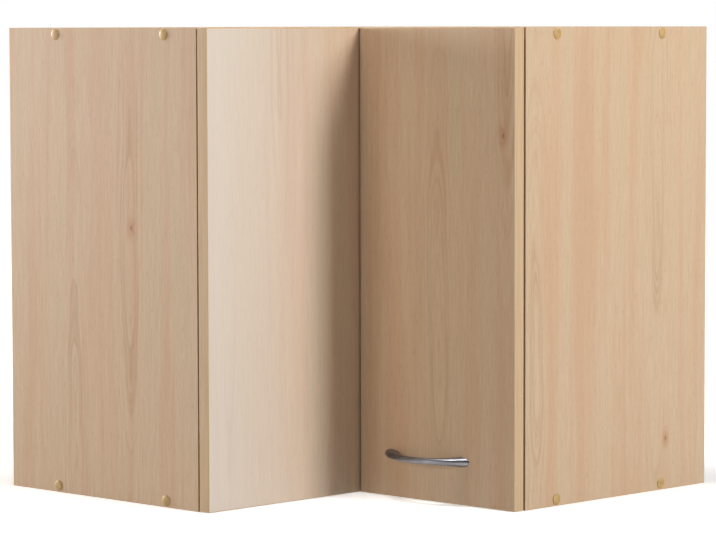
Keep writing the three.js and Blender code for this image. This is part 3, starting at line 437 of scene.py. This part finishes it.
# raw chipboard, in the bores, the grooves and the edges that face the walls: pressed chips from straw
# to bark brown, matt and rough
chipboard = {
    "chip": "#c9a574",
    "dark": "#8a6238",
    "dust": "#dcc39a",
    "chipSize": 2.4,          # mm
    "dustScale": 900.0,       # grains about 1 mm wide
    "dustFrom": 0.45, "dustFull": 0.65, "dustShare": 0.7,
    "roughness": 0.92,
    "emboss": (0.8, 0.25),
}


def chipboardMaterial(name, values=chipboard):
    material, tree, shader = newMaterial(name, {
        "IOR": 1.5, "Roughness": values["roughness"], "Specular IOR Level": 0.3})
    place = addNode(tree, "ShaderNodeTexCoord")
    chips = addNode(tree, "ShaderNodeTexVoronoi", {"Scale": 1000 / values["chipSize"], "Randomness": 1.0},
                    {"Vector": (place, "Object")})
    sort = addNode(tree, "ShaderNodeSeparateColor", {}, {0: (chips, "Color")})
    ground = addNode(tree, "ShaderNodeMix", {
        "data_type": "RGBA", 6: linear(values["chip"]), 7: linear(values["dark"])}, {0: sort})
    dusty = addNode(tree, "ShaderNodeTexNoise", {"Scale": values["dustScale"], "Detail": 4.0},
                    {"Vector": (place, "Object")})
    dustShare = addNode(tree, "ShaderNodeMapRange", {
        1: values["dustFrom"], 2: values["dustFull"], 4: values["dustShare"]}, {0: dusty})
    colour = addNode(tree, "ShaderNodeMix", {"data_type": "RGBA", 7: linear(values["dust"])},
                     {0: dustShare, 6: (ground, 2)})
    finishSurface(tree, shader, colour, None, (chips, "Distance"), values["emboss"])
    return material


# hardboard, on the backs' rear faces: pressed fibre, dark brown and slightly shiny, with a fine felt
# of lighter fibres
hardboard = {
    "ground": "#8d6a45",
    "fibre": "#a88560",
    "feltScale": 420.0,       # fibre bundles about 2 mm wide
    "feltTangle": 1.2,        # how much they bend round one another
    "blotchScale": 14.0,      # and cloudy patches about 70 mm wide
    "feltShare": 0.7,
    "fibreFrom": 0.6, "fibreFull": 1.1,
    "roughness": 0.62,
    "emboss": (0.5, 0.1),
}


def hardboardMaterial(name, values=hardboard):
    material, tree, shader = newMaterial(name, {"IOR": 1.5, "Roughness": values["roughness"]})
    place = addNode(tree, "ShaderNodeTexCoord")
    felt = addNode(tree, "ShaderNodeTexNoise", {
        "Scale": values["feltScale"], "Detail": 6.0, "Roughness": 0.7, "Distortion": values["feltTangle"]},
        {"Vector": (place, "Object")})
    blotch = addNode(tree, "ShaderNodeTexNoise", {"Scale": values["blotchScale"], "Detail": 2.0},
                     {"Vector": (place, "Object")})
    both = addNode(tree, "ShaderNodeMath", {"operation": "MULTIPLY_ADD", 1: values["feltShare"]},
                   {0: felt, 2: blotch})
    share = addNode(tree, "ShaderNodeMapRange", {1: values["fibreFrom"], 2: values["fibreFull"]}, {0: both})
    colour = addNode(tree, "ShaderNodeMix", {
        "data_type": "RGBA", 6: linear(values["ground"]), 7: linear(values["fibre"])}, {0: share})
    finishSurface(tree, shader, colour, None, felt, values["emboss"])
    return material


rawChipboard = chipboardMaterial("rawChipboard")
rawHardboard = hardboardMaterial("rawHardboard")
bands = {axis: edgeBandMaterial("edge band along " + axis, axis) for axis in "XYZ"}
print("board materials made")


# thin: the board's thickness axis. raw: edges left as bare chipboard, where they face a wall or a joint.
# bevel: mm off its sharp edges. Hearts and knots are in mm across and along the board, a knot's last number
# is its size, and the painted sheen is a place across and its share there, then another place and share.
# A tone below 1 darkens the whole print as painted shade
boards = {
    "left_side_panel": {
        "slot": "beech_board", "thin": "Y", "raw": ["-X"], "bevel": 0.4,
        "figure": {"across": "X", "along": "Z", "shift": 1.3, "ringStrength": 0.45,
                   "hearts": [(-80, 640), (-84, 300), (-183, 60)], "knots": [(-81, 325, 2.4)]},
    },
    "right_side_panel": {
        "slot": "beech_board", "thin": "X", "raw": ["+Y"], "bevel": 0.4,
        "figure": {"across": "Y", "along": "Z", "shift": 5.1, "ringStrength": 0.45,
                   "hearts": [(-15, 165), (207, 370)], "knots": [(224, 62, 2.0)]},
    },
    "top_panel": {
        "slot": "beech_board", "thin": "Z", "raw": ["-X", "+Y"], "bevel": 0.4,
        "figure": {"across": "X", "along": "Y", "shift": 9.4, "ringStrength": 0.45,
                   "hearts": [(-150, -100), (40, 320), (220, 60)], "knots": [(96, 128, 3.0)]},
    },
    "bottom_panel": {
        "slot": "beech_board", "thin": "Z", "raw": ["-X", "+Y"], "bevel": 0.4,
        "figure": {"across": "X", "along": "Y", "shift": 14.2, "ringStrength": 0.45,
                   "hearts": [(-210, 120), (-20, -60), (190, 260)], "knots": [(-120, 20, 2.6)]},
    },
    "shelf": {
        "slot": "beech_board", "thin": "Z", "raw": [], "bevel": 0.4,
        "figure": {"across": "X", "along": "Y", "shift": 19.6, "ringStrength": 0.45,
                   "hearts": [(-120, 60), (150, 200)], "knots": [(60, 40, 2.8)]},
    },
    "rear_corner_board": {
        "slot": "beech_board", "thin": "Y", "raw": ["-X", "-Z", "+Z"], "bevel": 0.3,
        "figure": {"across": "X", "along": "Z", "shift": 23.1, "ringStrength": 0.45,
                   "hearts": [(-250, 300)], "knots": []},
    },
    "fixed_front_panel": {
        "slot": "beech_front", "thin": "X", "raw": [], "bevel": 0.25,
        # the fixed front's pale share, lightest at its outer edge and fading inwards, is painted sheen
        "figure": {"across": "Y", "along": "Z", "shift": 31.5, "ringStrength": 0.42,
                   "hearts": [(-266, 180), (-183, 520)], "knots": [], "paintedSheen": (-292, 0.60, -80, 0.14)},
    },
    "door": {
        "slot": "beech_front", "thin": "Y", "raw": [], "bevel": 0.25,
        # its tone darkens the print a little as painted shade
        "figure": {"across": "X", "along": "Z", "shift": 37.8, "ringStrength": 0.45, "shadeTone": 0.96,
                   "hearts": [(179, 170), (290, 640)], "knots": [(282, 435, 2.4)]},
    },
}
backs = {
    "left_back_panel": {
        "slot": "hardboard", "inner": "+X", "bevel": 0.2,
        "figure": {"across": "Y", "along": "Z", "shift": 43.0, "ringStrength": 0.45,
                   "hearts": [(-120, 200), (110, 420)], "knots": []},
    },
    "rear_back_panel": {
        "slot": "hardboard", "inner": "-Y", "bevel": 0.2,
        "figure": {"across": "X", "along": "Z", "shift": 47.0, "ringStrength": 0.45,
                   "hearts": [(-40, 380), (170, 120)], "knots": []},
    },
}
boardFaces = {
    "planeReach": 0.1,        # mm, a face this near to an outer plane lies on it
    "roundReach": 0.9,        # and a slanted one this near to it is the front's rounded edge
    "innerEdge": 1000,        # mm2, above this an inward face is an edge of the L and not a groove's wall
    "bevelAngle": 40,         # degrees
    "smoothAngle": 35,
}


def facing(normal, square=0.999):
    # "+X", "-Z" ..., or None where a face isn't square to an axis
    for index, axis in enumerate("XYZ"):
        if abs(normal[index]) > square:
            return ("+" if normal[index] > 0 else "-") + axis
    return None


def dressBoard(nodeName, board, values=boardFaces):
    low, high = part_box(nodeName)
    piece = copyOfSolid(nodeName)
    decor = beechMaterial(nodeName.replace("_", " ") + " beech decor melamine", board["figure"])
    for material in (decor, bands["X"], bands["Y"], bands["Z"], rawChipboard):
        piece.data.materials.append(material)
    decorSlot, bandSlots, rawSlot = 0, (1, 2, 3), 4
    thin = board["thin"]
    planes = {"-X": low[0], "+X": high[0], "-Y": low[1], "+Y": high[1], "-Z": low[2], "+Z": high[2]}

    def isNear(face, side, reach):
        return abs(face.center["XYZ".index(side[1])] - planes[side]) < reach / 1000

    for face in piece.data.polygons:
        side = facing(face.normal)
        slot = rawSlot
        if side is None:
            # rounded edges of the fronts go with the band, walls of bores with the raw board
            rounded = any(isNear(face, outer, values["roundReach"]) for outer in planes if outer[1] != thin)
            if rounded and board["slot"] == "beech_front":
                slot = bandSlots[min(range(3), key=lambda index: abs(face.normal[index]))]
        elif side[1] == thin:
            if isNear(face, side, values["planeReach"]):
                slot = decorSlot
        elif side not in board["raw"]:
            if isNear(face, side, values["planeReach"]) or face.area > values["innerEdge"] / 1e6:
                # the band's streaks run along the edge
                slot = bandSlots[next(index for index in range(3) if "XYZ"[index] not in (side[1], thin))]
        face.material_index = slot
    breakEdges(piece, board["bevel"], values["bevelAngle"])
    smoothEdges(piece, values["smoothAngle"])
    standIn(piece, nodeName)
    print(nodeName, "dressed,", len(piece.data.polygons), "faces")


def dressBack(nodeName, back, values=boardFaces):
    piece = copyOfSolid(nodeName)
    decor = beechMaterial(nodeName.replace("_", " ") + " printed beech paper", back["figure"])
    for material in (decor, rawHardboard):
        piece.data.materials.append(material)
    for face in piece.data.polygons:
        face.material_index = 0 if facing(face.normal) == back["inner"] else 1
    breakEdges(piece, back["bevel"], values["bevelAngle"], segments=1)
    smoothEdges(piece, values["smoothAngle"])
    standIn(piece, nodeName)


for nodeName, board in boards.items():
    dressBoard(nodeName, board)
for nodeName, back in backs.items():
    dressBack(nodeName, back)
print("boards and backs dressed")


metalSurface = {
    "cloudScale": 90.0,       # patches about 11 mm wide
    "cloudFrom": 0.3, "cloudFull": 0.75, "cloudShare": 0.8,
    "brushShare": 0.5,
    "dullFrom": 0.5, "dullFull": 1.0,
    "emboss": (0.25, 0.01),
}
# satin nickel on cast zinc, on the bow: cool mid-grey metal, brushed along its length, with a wide
# soft highlight
satinNickel = {
    "ground": "#85858a", "deep": "#696a6f", "roughness": (0.33, 0.43),
    "brushPitch": 0.25, "brushLength": 14,   # mm, as in the next two
}
# bright zinc, passivated: bluish grey, mottled, half dull
zincPlate = {
    "ground": "#a9adb0", "deep": "#8a8a80", "roughness": (0.28, 0.48),
    "brushPitch": 1.6, "brushLength": 1.6,
}
# bright nickel on stamped steel: smoother and a little warmer
nickelPlate = {
    "ground": "#cbc7be", "deep": "#aca79d", "roughness": (0.18, 0.32),
    "brushPitch": 0.8, "brushLength": 3,
}


def metalMaterial(name, metal, brushAxis="X", values=metalSurface):
    material, tree, shader = newMaterial(name, {"Metallic": 1.0})
    place = addNode(tree, "ShaderNodeTexCoord")
    stretch = [1000 / metal["brushPitch"]] * 3
    stretch["XYZ".index(brushAxis)] = 1000 / metal["brushLength"]
    drawn = addNode(tree, "ShaderNodeVectorMath", {"operation": "MULTIPLY", 1: stretch},
                    {0: (place, "Object")})
    brush = addNode(tree, "ShaderNodeTexNoise", {"Scale": 1.0, "Detail": 3.0, "Roughness": 0.6},
                    {"Vector": drawn})
    cloud = addNode(tree, "ShaderNodeTexNoise", {"Scale": values["cloudScale"], "Detail": 2.0},
                    {"Vector": (place, "Object")})
    share = addNode(tree, "ShaderNodeMapRange", {
        1: values["cloudFrom"], 2: values["cloudFull"], 4: values["cloudShare"]}, {0: cloud})
    colour = addNode(tree, "ShaderNodeMix", {
        "data_type": "RGBA", 6: linear(metal["ground"]), 7: linear(metal["deep"])}, {0: share})
    both = addNode(tree, "ShaderNodeMath", {"operation": "MULTIPLY_ADD", 1: values["brushShare"]},
                   {0: brush, 2: cloud})
    rough = addNode(tree, "ShaderNodeMapRange", {
        1: values["dullFrom"], 2: values["dullFull"],
        3: metal["roughness"][0], 4: metal["roughness"][1]}, {0: both})
    finishSurface(tree, shader, colour, rough, brush, values["emboss"])
    return material


mouldedSurface = {
    "cloudScale": 160.0,      # patches about 6 mm wide
    "cloudFrom": 0.35, "cloudFull": 0.7,
    "roughSpread": (-0.06, 0.08),
    "emboss": (0.3, 0.03),
}
# beech-coloured polythene, on the cover caps: waxy and slightly cloudy, with a fine spark-eroded
# texture, as the next two have
capPlastic = {
    "ground": "#cfab6d", "deep": "#b48f55", "roughness": 0.42, "ior": 1.49, "clear": 0.0,
    "grain": 0.5,             # mm, the texture's size
}
# grey polyamide, on the fittings' moulded parts: a little duller
greyPlastic = {
    "ground": "#b9b7b0", "deep": "#a3a19a", "roughness": 0.48, "ior": 1.49, "clear": 0.0,
    "grain": 0.7,
}
# clear polyurethane, on the bumpers: soft, see-through, slightly yellow
clearRubber = {
    "ground": "#e9e5d8", "deep": "#d8d2bd", "roughness": 0.28, "ior": 1.5, "clear": 0.7,
    "grain": 0.9,
}


def mouldedMaterial(name, plastic, values=mouldedSurface):
    material, tree, shader = newMaterial(name, {
        "IOR": plastic["ior"], "Transmission Weight": plastic["clear"]})
    place = addNode(tree, "ShaderNodeTexCoord")
    cloud = addNode(tree, "ShaderNodeTexNoise", {"Scale": values["cloudScale"], "Detail": 3.0},
                    {"Vector": (place, "Object")})
    share = addNode(tree, "ShaderNodeMapRange", {1: values["cloudFrom"], 2: values["cloudFull"]}, {0: cloud})
    colour = addNode(tree, "ShaderNodeMix", {
        "data_type": "RGBA", 6: linear(plastic["ground"]), 7: linear(plastic["deep"])}, {0: share})
    spark = addNode(tree, "ShaderNodeTexNoise", {"Scale": 1000 / plastic["grain"], "Detail": 2.0},
                    {"Vector": (place, "Object")})
    rough = addNode(tree, "ShaderNodeMapRange", {
        3: plastic["roughness"] + values["roughSpread"][0],
        4: plastic["roughness"] + values["roughSpread"][1]}, {0: spark})
    finishSurface(tree, shader, colour, rough, spark, values["emboss"])
    return material


finishes = {
    "satin_nickel": metalMaterial("satinNickelOnCastZinc", satinNickel),
    "zinc_plate": metalMaterial("passivatedZincOnSteel", zincPlate),
    "nickel_plate": metalMaterial("brightNickelOnSteel", nickelPlate, "Z"),
    "cap_plastic": mouldedMaterial("beechColouredPolythene", capPlastic),
    "grey_plastic": mouldedMaterial("greyPolyamide", greyPlastic),
    "clear_rubber": mouldedMaterial("clearPolyurethane", clearRubber),
}
print("metal and plastic materials made")


bowHandle = {
    # mm: the door's face, and the bow's height above the underside
    "seat": (-51, 51.3),
    # the bow's outer line, with its ends on the door, its rise and its fullness, and its inner line,
    # which is shorter, so that the feet spread on the door
    "outer": (92.6, 229.5, 28.6, 0.97),
    "inner": (116.1, 204.1, 22.3, 0.85),
    "height": (3.75, 5.9),    # half height of the bar and of the feet
    "flarePower": 3.85,       # how late the bar widens into the feet
    "screwTip": -53.2,        # the screws end here, inside the feet
    "steps": 56,
    "sides": 28,
    "rim": 0.4,               # round of the feet's rims
    "rimAngle": 50,           # degrees
    "smoothAngle": 40,
}


def bowSection(step, values):
    # the section's centre in m, its direction in plan, and its half depth and half height in mm
    turn = math.pi * step / values["steps"]
    along = (1 - math.cos(turn)) / 2
    arch = max(0.0, 4 * along * (1 - along))
    face, level = values["seat"]
    outer, inner = [Vector((start + (end - start) * along, face - rise * arch ** full, level))
                    for start, end, rise, full in (values["outer"], values["inner"])]
    across = outer - inner
    flare = abs(math.cos(turn)) ** values["flarePower"]
    height = values["height"][0] + flare * (values["height"][1] - values["height"][0])
    return (outer + inner) / 2000, math.atan2(across.y, across.x), across.length / 2, height


def makeBow(values):
    centre, heading, depth, height = bowSection(0, values)
    deselectAll()
    # an oval foot on the door's face, drawn out section by section along the bow
    bpy.ops.mesh.primitive_circle_add(vertices=values["sides"], radius=depth / 1000, fill_type="NGON",
                                      location=centre, rotation=(math.pi / 2, 0, 0))
    bow = bpy.context.object
    bow.name = "bow-handle"
    bpy.ops.object.transform_apply(location=True, rotation=True, scale=True)
    bpy.ops.object.mode_set(mode="EDIT")
    bpy.ops.mesh.select_all(action="SELECT")
    bpy.ops.transform.resize(value=(1, 1, height / depth), center_override=centre)
    for step in range(1, values["steps"] + 1):
        nextCentre, nextHeading, nextDepth, nextHeight = bowSection(step, values)
        turned = (nextHeading - heading + math.pi) % (2 * math.pi) - math.pi
        growth = (nextDepth / depth, nextDepth / depth, nextHeight / height)
        bpy.ops.mesh.extrude_region_move(TRANSFORM_OT_translate={"value": nextCentre - centre})
        bpy.ops.transform.rotate(value=-turned, orient_axis="Z", center_override=nextCentre)
        bpy.ops.transform.resize(value=growth, center_override=nextCentre)
        centre, heading, depth, height = nextCentre, nextHeading, nextDepth, nextHeight
    bpy.ops.mesh.select_all(action="SELECT")
    bpy.ops.mesh.normals_make_consistent(inside=False)
    bpy.ops.object.mode_set(mode="OBJECT")
    bow.data.materials.append(finishes["satin_nickel"])
    breakEdges(bow, values["rim"], values["rimAngle"])
    bpy.ops.object.shade_smooth_by_angle(angle=math.radians(values["smoothAngle"]))
    standIn(bow, "handle_bow")
    print("bow handle made,", len(bow.data.polygons), "faces")


makeBow(bowHandle)


coverCap = {
    "radius": 6.6,            # mm, as are the next ones
    "rim": 0.4,
    "dome": 1.1,
    "stemRadius": 1.7,
    "stem": 2.6,
    "edge": 0.15,
    "stemTaper": 0.8,         # the stem's tip is this much of its root
    "domeRings": 7,
    "domeFullness": 0.75,     # lower is flatter on top
    "crown": 0.06,            # share of the radius at which the dome closes
    "sides": 48,
    "edgeAngle": 50,          # degrees
    "smoothAngle": 35,
}


def makeCap(values):
    # modelled lying on the floor, face up, then copied to each screw
    deselectAll()
    bpy.ops.mesh.primitive_circle_add(vertices=values["sides"], radius=values["radius"] / 1000,
                                      fill_type="NGON")
    cap = bpy.context.object
    cap.name = "cover-cap"
    bpy.ops.object.mode_set(mode="EDIT")
    bpy.ops.mesh.select_all(action="SELECT")
    bpy.ops.mesh.extrude_region_move(TRANSFORM_OT_translate={"value": (0, 0, values["rim"] / 1000)})
    # the dome, in rings that shrink as they rise
    last, height = 1.0, 0.0
    for ring in range(1, values["domeRings"] + 1):
        turn = ring / values["domeRings"] * math.pi / 2
        lift = values["dome"] * math.sin(turn)
        share = max(values["crown"], math.cos(turn) ** values["domeFullness"])
        bpy.ops.mesh.extrude_region_move(TRANSFORM_OT_translate={"value": (0, 0, (lift - height) / 1000)})
        bpy.ops.transform.resize(value=(share / last, share / last, 1), center_override=(0, 0, 0))
        last, height = share, lift
    # the stem, drawn out of the underside
    bpy.ops.mesh.select_all(action="DESELECT")
    bpy.ops.object.mode_set(mode="OBJECT")
    underside = min(cap.data.polygons, key=lambda face: face.center.z).index
    for face in cap.data.polygons:
        face.select = face.index == underside
    bpy.ops.object.mode_set(mode="EDIT")
    bpy.ops.mesh.select_mode(type="FACE")
    bpy.ops.mesh.inset(thickness=(values["radius"] - values["stemRadius"]) / 1000)
    bpy.ops.mesh.extrude_region_move(TRANSFORM_OT_translate={"value": (0, 0, -values["stem"] / 1000)})
    bpy.ops.transform.resize(value=(values["stemTaper"], values["stemTaper"], 1), center_override=(0, 0, 0))
    bpy.ops.mesh.select_all(action="SELECT")
    bpy.ops.mesh.normals_make_consistent(inside=False)
    bpy.ops.object.mode_set(mode="OBJECT")
    cap.data.materials.append(finishes["cap_plastic"])
    breakEdges(cap, values["edge"], values["edgeAngle"])
    bpy.ops.object.shade_smooth_by_angle(angle=math.radians(values["smoothAngle"]))
    return cap


def placeCap(cap, nodeName, outwards, values):
    # outwards is the face's normal; the cap's own is +Z
    low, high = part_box(nodeName)
    seatAt = (low + high) / 2
    proud = (values["rim"] + values["dome"]) / 1000
    face = Vector(outwards)
    for index in range(3):
        if face[index]:
            seatAt[index] = (high[index] if face[index] > 0 else low[index]) - face[index] * proud
    pickOnly(cap)
    bpy.ops.object.duplicate()
    placed = bpy.context.object
    placed.name = nodeName.replace("_", "-")
    placed.matrix_world = Matrix.Translation(seatAt) @ face.to_track_quat("Z", "Y").to_matrix().to_4x4()
    bpy.ops.object.transform_apply(location=True, rotation=True, scale=True)
    standIn(placed, nodeName)


capModel = makeCap(coverCap)
for number in range(1, 5):
    placeCap(capModel, f"left_cover_cap_{number}", (0, -1, 0), coverCap)
    placeCap(capModel, f"right_cover_cap_{number}", (1, 0, 0), coverCap)
bpy.data.objects.remove(capModel)
print("cover caps placed")


# the other fittings are copies of their solids with their sharp edges broken by so many mm

fittings = {
    "brokenEdge": {"satin_nickel": 0.2, "zinc_plate": 0.15, "nickel_plate": 0.15, "grey_plastic": 0.4,
                   "clear_rubber": 0.3},
    "bevelAngle": 40,         # degrees
    "smoothAngle": 40,
}


def dressFitting(nodeName, slotName, values):
    piece = copyOfSolid(nodeName)
    if nodeName.startswith("handle_screw"):
        # shortened, because the bow's feet lean inwards and are shallow where the screws enter
        bpy.ops.object.mode_set(mode="EDIT")
        bpy.ops.mesh.select_all(action="SELECT")
        bpy.ops.mesh.bisect(plane_co=(0, bowHandle["screwTip"] / 1000, 0), plane_no=(0, -1, 0), use_fill=True,
                            clear_outer=True)
        bpy.ops.object.mode_set(mode="OBJECT")
    piece.data.materials.append(finishes[slotName])
    breakEdges(piece, values["brokenEdge"][slotName], values["bevelAngle"])
    smoothEdges(piece, values["smoothAngle"])
    standIn(piece, nodeName)


done = {name for piece in scene.objects for name in piece.get("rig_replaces", [])}
for nodeName in sorted(frame["nodes"]):
    if nodeName not in done:
        slotName = frame["nodes"][nodeName].data.materials[0].name.split(".")[0]
        dressFitting(nodeName, slotName, fittings)
print("fittings dressed")


studio = {
    "floorColour": "#f1f0ed",
    "floorRadius": 40,        # m
    "floorDrop": 0.0002,      # m below the cabinet's underside
    "fibreScale": 60.0,       # soft waves in the paper, about 17 mm wide
    "fibreEmboss": (0.05, 0.0002),  # strength, and depth in m
    "nearGlow": 0.42,         # the paper brightens with distance, as a lit sweep does
    "farGlow": 1.0,
    "glowReach": (0.4, 2.2),  # m, where that starts and ends
    "horizon": 1.0,           # brightness of the pale sweep round the studio
    "sky": 0.03,              # and of the dark room above it
    "sweepEdge": (0.06, 0.20),  # where one turns into the other, as the sine of the elevation
    "fill": 0.42,             # share of both that lights the cabinet, the rest is for the eye
}
# azimuth and elevation in degrees, 0 in front of the door and 90 on the fixed front's side; distance, width
# and height in m; power in W
softboxes = {
    "keySoftbox": {"azimuth": 103, "elevation": 26, "distance": 3.4, "width": 0.6, "height": 1.7,
                   "power": 88.5, "colour": "#ffffff"},
    "sideSoftbox": {"azimuth": -78, "elevation": 9, "distance": 5.0, "width": 1.2, "height": 1.2,
                    "power": 146, "colour": "#fff9f4"},
    "lowSoftbox": {"azimuth": -66, "elevation": 4, "distance": 3.4, "width": 0.7, "height": 0.7,
                   "power": 26, "colour": "#fff9f4"},
    "frontSoftbox": {"azimuth": -3, "elevation": 9, "distance": 3.4, "width": 1.0, "height": 1.0,
                     "power": 25.5, "colour": "#fff9f4"},
    "topSoftbox": {"azimuth": 0, "elevation": 83, "distance": 2.2, "width": 0.7, "height": 0.7,
                   "power": 38, "colour": "#ffffff"},
}
cabinetMiddle = Vector((0, 0, 0.28))     # m, which the softboxes stand round and face


def hangSoftbox(name, values):
    azimuth, elevation = math.radians(values["azimuth"]), math.radians(values["elevation"])
    back = Vector((math.sin(azimuth) * math.cos(elevation), -math.cos(azimuth) * math.cos(elevation),
                   math.sin(elevation)))
    bpy.ops.object.light_add(type="AREA", location=cabinetMiddle + back * values["distance"])
    light = bpy.context.object
    light.name = name
    light.rotation_mode = "QUATERNION"
    light.rotation_quaternion = (-back).to_track_quat("-Z", "Y")
    light.data.shape = "RECTANGLE"
    light.data.size, light.data.size_y = values["width"], values["height"]
    light.data.energy = values["power"]
    light.data.color = linear(values["colour"])[:3]


def layFloor(values):
    deselectAll()
    bpy.ops.mesh.primitive_circle_add(vertices=96, radius=values["floorRadius"], fill_type="NGON",
                                      location=(0, 0, -values["floorDrop"]))
    floor = bpy.context.object
    floor.name = "studioFloor"
    bpy.ops.object.transform_apply(location=True, rotation=True, scale=True)
    paper, tree, shader = newMaterial("paleStudioPaper", {
        "Base Color": linear(values["floorColour"]), "Roughness": 0.9, "Specular IOR Level": 0.1,
        "Emission Color": linear("#ffffff")})
    place = addNode(tree, "ShaderNodeTexCoord")
    fibres = addNode(tree, "ShaderNodeTexNoise", {"Scale": values["fibreScale"], "Detail": 2.0},
                     {"Vector": (place, "Object")})
    strength, distance = values["fibreEmboss"]
    emboss = addNode(tree, "ShaderNodeBump", {"Strength": strength, "Distance": distance}, {"Height": fibres})
    tree.links.new(emboss.outputs[0], shader.inputs["Normal"])
    away = addNode(tree, "ShaderNodeVectorMath", {"operation": "LENGTH"}, {0: (place, "Object")})
    glow = addNode(tree, "ShaderNodeMapRange", {
        "interpolation_type": "SMOOTHSTEP", 1: values["glowReach"][0], 2: values["glowReach"][1],
        3: values["nearGlow"], 4: values["farGlow"]}, {0: (away, "Value")})
    tree.links.new(glow.outputs[0], shader.inputs["Emission Strength"])
    floor.data.materials.append(paper)
    floor.visible_diffuse = False  # its glow is for the eye, the fill from below comes from the room


def lightRoom(values):
    world = bpy.data.worlds.new("studioRoom")
    scene.world = world
    world.use_nodes = True
    room = world.node_tree
    place = addNode(room, "ShaderNodeTexCoord")
    height = addNode(room, "ShaderNodeSeparateXYZ", {}, {0: (place, "Generated")})
    share = addNode(room, "ShaderNodeMapRange", {
        "interpolation_type": "SMOOTHSTEP", 1: values["sweepEdge"][0], 2: values["sweepEdge"][1],
        3: values["horizon"], 4: values["sky"]}, {0: (height, "Z")})
    seen = addNode(room, "ShaderNodeLightPath")
    fill = values["fill"]
    lit = addNode(room, "ShaderNodeMath", {"operation": "MULTIPLY_ADD", 1: 1 - fill, 2: fill},
                  {0: (seen, "Is Camera Ray")})
    strength = addNode(room, "ShaderNodeMath", {"operation": "MULTIPLY"}, {0: share, 1: lit})
    background = room.nodes["Background"]
    room.links.new(strength.outputs[0], background.inputs["Strength"])
    background.inputs["Color"].default_value = linear("#ffffff")


layFloor(studio)
lightRoom(studio)
for name, softbox in softboxes.items():
    hangSoftbox(name, softbox)
print("studio lit")
